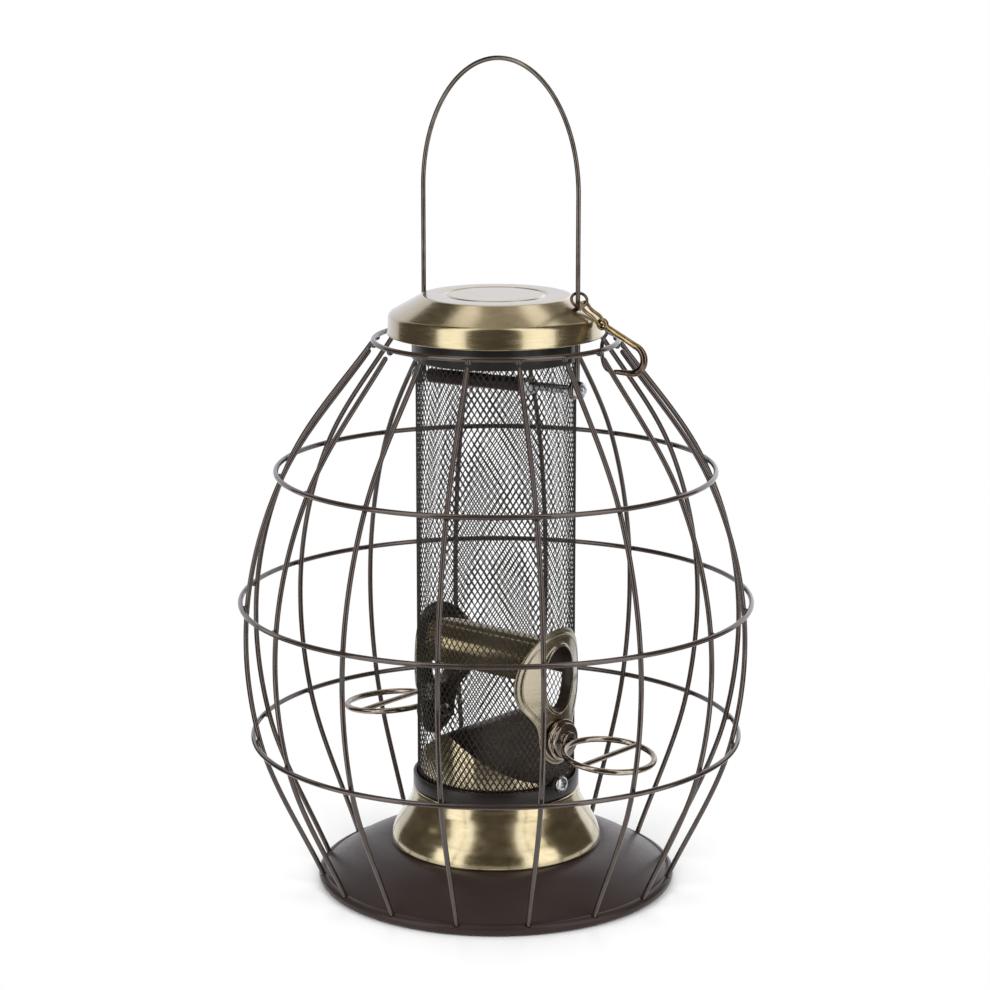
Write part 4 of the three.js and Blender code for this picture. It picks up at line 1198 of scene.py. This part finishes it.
def make_cross_bolt():
    tail = BOLT_SEAT + NUT_HEIGHT + BOLT_TAIL
    head = [(r, -z) for r, z in pan_head(BOLT_HEAD_RADIUS, BOLT_SEAT, BOLT_HEAD_HEIGHT)][::-1]
    low, high = LOCK_NUT_SPAN
    profile = [*head, (BOLT_RADIUS, -BOLT_SEAT), (BOLT_RADIUS, low)]
    profile += threaded(BOLT_RADIUS, low + THREAD_ROOT_EASE, tail - THREAD_TIP_EASE)
    profile += [(BOLT_RADIUS - BOLT_TAIL_ROUND, tail), (0, tail)]
    bolt = dress("cross_bolt", "screw", on_the_bolt(lathe(profile, BOLT_SEGMENTS)), ZINC)
    cut_recess(bolt, BOLT_SEAT + BOLT_HEAD_HEIGHT, lambda arm: on_the_bolt(turned(arm, math.pi, "Y")))
    nut = hex_nut(NUT_RADIUS, BOLT_SEAT, BOLT_SEAT + NUT_HEIGHT, BOLT_BORE)
    dress("cross_bolt_nut", "hex", on_the_bolt(nut), ZINC)
    sleeve = band(BOLT_BORE, SLEEVE_RADIUS, *SLEEVE_SPAN, SLEEVE_ROUNDS, SMALL_SEGMENTS)
    dress("cross_bolt_sleeve", "pipe", on_the_bolt(sleeve), TRAY_PAINT)
    foot = high - LOCK_NUT_COLLAR
    wide, narrow = LOCK_NUT_COLLAR_RADII
    corners = [(BOLT_BORE, foot), (wide, foot), (narrow, high), (BOLT_BORE, high)]
    collar = lathe(rounded_loop(corners, LOCK_NUT_ROUNDS), SMALL_SEGMENTS)
    lock_nut = joined(hex_nut(NUT_RADIUS, low, foot, BOLT_BORE), collar)
    dress("cross_bolt_lock_nut", "hex", on_the_bolt(lock_nut), ZINC)


def make_collar_screw(side, turn):
    low = SCREW_SEAT - SCREW_LENGTH
    profile = [(0, low), (SCREW_POINT, low)]
    profile += threaded(SCREW_RADIUS, low + THREAD_TIP_EASE, SCREW_SEAT - THREAD_ROOT_EASE)
    profile += [(SCREW_RADIUS, SCREW_SEAT), *pan_head(SCREW_HEAD_RADIUS, SCREW_SEAT, SCREW_HEAD_HEIGHT)]
    part = laid(lathe(profile, SMALL_SEGMENTS), SCREW_LEVEL, turn)
    screw = dress(f"collar_screw_{side}", "pan", part, ZINC)
    top = SCREW_SEAT + SCREW_HEAD_HEIGHT
    cut_recess(screw, top, lambda arm: laid(turned(arm, RECESS_TURN), SCREW_LEVEL, turn))


def make_perch_nut(side, turn):
    end = math.sqrt((MESH_INNER - SEAT_GAP) ** 2 - NUT_RADIUS**2) - SEAT_GAP
    nut = hex_nut(NUT_RADIUS, end - NUT_HEIGHT, end, PERCH_STEM_RADIUS + SEAT_GAP)
    dress(f"perch_nut_{side}", "hex", laid(nut, PERCH_HEIGHT, turn), ZINC)


def make_base_bolt():
    seat = DECK + SEAT_GAP
    top = seat + BASE_BOLT_HEAD_HEIGHT
    dish = top - BASE_BOLT_DISH
    profile = [(0, BASE_BOLT_FOOT), (BASE_BOLT_RADIUS - BASE_BOLT_POINT, BASE_BOLT_FOOT)]
    profile += threaded(BASE_BOLT_RADIUS, BASE_BOLT_FOOT + THREAD_RUNOUT, seat + THREAD_RUNOUT)
    profile += [(BASE_BOLT_RADIUS, dish), (0, dish)]
    head = hex_nut(BASE_BOLT_HEAD_RADIUS, seat, top, BASE_BOLT_RADIUS - NUT_CHAMFER)
    dress("base_bolt", "hex", joined(lathe(profile, BOLT_SEGMENTS), head), ZINC)


def make_wing_nut():
    hub = [
        (BASE_BOLT_BORE, WING_FOOT),
        (WING_HUB_RADIUS - WING_HUB_TAPER, WING_FOOT),
        (WING_HUB_RADIUS, WING_TOP - WING_HUB_BAND),
        (WING_HUB_RADIUS, WING_TOP),
        (BASE_BOLT_BORE, WING_TOP),
    ]
    parts = [lathe(rounded_loop(hub, WING_HUB_ROUNDS), SMALL_SEGMENTS)]
    root, tip = BASE_BOLT_BORE + WING_INSET, WING_FOOT - WING_DROP
    for side in (-1, 1):
        corners = [
            (side * root, WING_FOOT + WING_INSET),
            (side * (WING_REACH - WING_TIP), tip),
            (side * WING_REACH, tip),
            (side * WING_REACH, WING_FOOT),
            (side * root, WING_TOP - WING_INSET),
        ]
        ear = prism(rounded_loop(corners, WING_ROUNDS, 5), -WING_SHEET / 2, WING_SHEET / 2)
        parts.append(turned(ear, math.pi / 2, "X"))
    nut = dress("wing_nut", "cast", joined(*parts), ZINC)
    modifier = nut.modifiers.new("edges", "BEVEL")
    modifier.width = WING_BEVEL * MM
    modifier.segments = 2
    modifier.limit_method = "ANGLE"
    modifier.angle_limit = WING_BEVEL_ANGLE
    modifier.harden_normals = True


# Clip
def on_the_slope(part):
    """A part with X along the strap and Z off it, from the ring's place."""
    return in_the_bail(moved(turned(part, CLIP_SLOPE, "Y"), (CLIP_PLACE[0], 0, CLIP_PLACE[1])))


def make_clip_ring():
    loop = moved(ring(CLIP_RING_RADIUS, CLIP_RING_WIRE, 64, 14), (CLIP_RING_SLIP, 0, 0))
    dress("clip_ring", "wire", on_the_slope(turned(loop, CLIP_RING_TILT, "X")), CLIP_BRONZE)


def make_clip_strap():
    """An open loop of wire with a light wave along it."""
    (start, end), wide = STRAP_SPAN, STRAP_HALF_WIDTH
    path = rounded_loop([(start, -wide), (end, -wide), (end, wide), (start, wide)], [STRAP_ROUND] * 4, 8)
    path = [point for i, point in enumerate(path) if np.linalg.norm(point - path[i - 1]) > 1e-6]
    sides = []
    for point, before in zip(path, [path[-1], *path[:-1]]):
        steps = max(1, round(np.linalg.norm(point - before) / STRAP_STEP))
        sides += [before + (point - before) * (step + 1) / steps for step in range(steps)]
    middle = (start + end) / 2
    waved = [(x, y, STRAP_WAVE * math.sin(math.pi * (x - middle) / STRAP_HALF_WAVE)) for x, y in sides]
    strap = tube(waved, STRAP_WIRE / 2, 14, closed=True)
    dress("clip_strap", "wire", on_the_slope(strap), CLIP_GOLD)


def make_clip_hook():
    """An eye, a spine that runs out from it and round the nose, and a free tip."""
    lug, shoulder, nose = np.array(HOOK_LUG), np.array(HOOK_SHOULDER), np.array(HOOK_NOSE)
    out = (shoulder - lug) / np.linalg.norm(shoulder - lug)
    begin = lug + out * (HOOK_LUG_RADIUS - HOOK_SINK)
    line = [begin + (shoulder - begin) * share for share in np.linspace(0, 1, 14)]
    first = math.atan2(*(shoulder - nose)[::-1])
    for angle in np.linspace(first, -math.pi / 2, 28)[1:]:
        line.append(nose + HOOK_NOSE_RADIUS * np.array([math.cos(angle), math.sin(angle)]))
    line += [line[-1] + (np.array(HOOK_TIP) - line[-1]) * share for share in np.linspace(0, 1, 8)[1:]]
    radii = np.interp(np.linspace(0, 1, len(line)), HOOK_SPINE_SHARES, HOOK_SPINE_RADII)
    path, shares = round_ended([(x, 0, z) for x, z in line], 1)
    added = (len(path) - len(line)) // 2
    radii = np.pad(radii, added, mode="edge") * shares
    spine = scaled(tube(path, radii, 18), (1, HOOK_THICKNESS / 2 / HOOK_SPINE_MEAN, 1))
    eye_wire = HOOK_LUG_RADIUS - HOOK_LUG_BORE
    eye = turned(ring((HOOK_LUG_RADIUS + HOOK_LUG_BORE) / 2, eye_wire, 48, 14), math.pi / 2, "X")
    eye = moved(scaled(eye, (1, HOOK_THICKNESS / eye_wire, 1)), (lug[0], 0, lug[1]))
    hook = dress("clip_hook", "cast", in_the_bail(joined(spine, eye)), CLIP_BRONZE)
    add_finish(hook, CLIP_GOLD, lambda face: face.center[2] > HOOK_SHOULDER[1] * MM)


def make_clip_gate():
    a, b, c, d, e, f = GATE_LINE
    line = [a, *bezier([a, b, c], 8), *bezier([c, d, e], 14), f]
    tongue = tube(*round_ended([(x, 0, z) for x, z in line], GATE_BAR / 2), 14)
    tongue = scaled(tongue, (1, HOOK_THICKNESS / GATE_BAR, 1))
    dress("clip_gate", "tongue", in_the_bail(tongue), CAGE_PAINT)


# Stage
def by_ray(tree, low, high):
    """A number that is high where a camera, mirror or see-through ray meets it, and low elsewhere."""
    path = add_node(tree, "ShaderNodeLightPath")
    seen = path.outputs["Is Camera Ray"]
    for kind in ("Is Glossy Ray", "Is Transmission Ray"):
        both = {0: seen, 1: path.outputs[kind]}
        seen = add_node(tree, "ShaderNodeMath", both, operation="MAXIMUM").outputs[0]
    inputs = {"Value": seen, "To Min": low, "To Max": high}
    return add_node(tree, "ShaderNodeMapRange", inputs).outputs["Result"]


def floor_paper():
    """Pale paper that keeps the shadow near the object and runs out to plain white further off."""
    material = new_material("floor_paper")
    tree = material.node_tree
    paper = tree.nodes["Principled BSDF"]
    inputs = {"Base Color": FLOOR_WHITE, "Roughness": FLOOR_ROUGHNESS, "Specular IOR Level": FLOOR_SHINE}
    fill(tree, paper, inputs)
    glow = add_node(tree, "ShaderNodeEmission", {"Strength": by_ray(tree, FLOOR_GLOW, 1.0)})
    place = add_node(tree, "ShaderNodeTexCoord").outputs["Object"]
    length = add_node(tree, "ShaderNodeVectorMath", {0: place}, operation="LENGTH")
    start, end = FLOOR_SHADOW_REACH
    inputs = {"Value": length.outputs["Value"], "From Min": start, "From Max": end}
    fade = add_node(tree, "ShaderNodeMapRange", inputs, interpolation_type="SMOOTHSTEP")
    inputs = {"Fac": fade.outputs["Result"], 1: paper.outputs[0], 2: glow.outputs[0]}
    mix = add_node(tree, "ShaderNodeMixShader", inputs)
    fill(tree, tree.nodes["Material Output"], {"Surface": mix.outputs[0]})
    return material


def make_floor():
    corners = [(x * FLOOR_HALF, y * FLOOR_HALF, 0) for x, y in ((-1, -1), (1, -1), (1, 1), (-1, 1))]
    floor = make_object("floor", (corners, [(0, 1, 2, 3)]), floor_paper(), scale=1)
    floor.location.z = -FLOOR_DROP


def make_world():
    world = bpy.data.worlds.new("studio")
    bpy.context.scene.world = world
    world.use_nodes = True
    tree = world.node_tree
    fill(tree, tree.nodes["Background"], {"Color": (1, 1, 1, 1), "Strength": by_ray(tree, WORLD_LIGHT, 1.0)})


def view_direction(azimuth, elevation):
    """From the object towards a view's place. Azimuth 0 is the -Y side."""
    across = math.cos(elevation)
    return Vector((math.sin(azimuth) * across, -math.cos(azimuth) * across, math.sin(elevation)))


def make_card(name, azimuths, elevations, light, distance=CARD_DISTANCE, middle=STAGE_MIDDLE):
    """A curved card round the object, which only shows in polished metal."""
    around = np.radians(np.linspace(*azimuths, 25))
    up = np.radians(np.linspace(*elevations, 9))
    centre = Vector((0, 0, middle))
    verts = [view_direction(a, e) * distance + centre for e in up for a in around]
    material = new_material(name)
    tree = material.node_tree
    glow = add_node(tree, "ShaderNodeEmission", {"Color": (*light, 1)})
    fill(tree, tree.nodes["Material Output"], {"Surface": glow.outputs[0]})
    card = make_object(name, (verts, grid_faces(len(up), len(around))), material, scale=1)
    card.visible_camera = False
    card.visible_diffuse = False
    card.visible_shadow = False
    card.visible_transmission = False


def add_lamp(name, azimuth, elevation, distance, size):
    """A soft square lamp that looks at the middle of the object."""
    direction = view_direction(math.radians(azimuth), math.radians(elevation))
    light = bpy.data.lights.new(name, "AREA")
    light.size = size
    light.energy = LAMP_POWER
    lamp = add_object(name, light)
    lamp.location = direction * distance + Vector((0, 0, STAGE_MIDDLE))
    lamp.rotation_euler = (-direction).to_track_quat("-Z", "Y").to_euler()
    lamp.visible_glossy = False


def make_camera():
    data = bpy.data.cameras.new("camera")
    data.sensor_width = SENSOR
    data.lens = LENS
    data.shift_x = CAMERA_SHIFT_SHARE
    camera = add_object("camera", data)
    camera.location = CAMERA_PLACE
    aim = Vector(CAMERA_AIM) - Vector(CAMERA_PLACE)
    camera.rotation_euler = aim.to_track_quat("-Z", "Y").to_euler()
    bpy.context.scene.camera = camera


make_world()
make_floor()
for name, (azimuths, elevations, light) in CARDS.items():
    make_card(name, azimuths, elevations, light)
    if name in LOW_CARDS:
        make_card(name + "_low", azimuths, LOW_ELEVATIONS, light, LOW_DISTANCE, 0)
for name, reach in PATCHES.items():
    make_card(name, *reach, PATCH_LIGHT, PATCH_DISTANCE)
make_card("glint", *GLINT_REACH, GLINT, GLINT_DISTANCE, GLINT_MIDDLE)
for name, place in LAMPS.items():
    add_lamp(name, *place)
make_camera()
make_cage()
make_tray()
make_base()
make_bottom_collar()
make_top_collar()
make_mesh_tube()
make_lid()
make_bail()
for side, turn in (("right", 0.0), ("left", math.pi)):
    make_port_plate(side, turn)
    make_perch(side, turn)
    make_collar_screw(side, turn)
    make_perch_nut(side, turn)
make_hood()
make_deflector()
make_cross_bolt()
make_base_bolt()
make_wing_nut()
make_clip_ring()
make_clip_strap()
make_clip_hook()
make_clip_gate()

bpy.context.scene.view_settings.view_transform = "Standard"
bpy.context.view_layer.update()
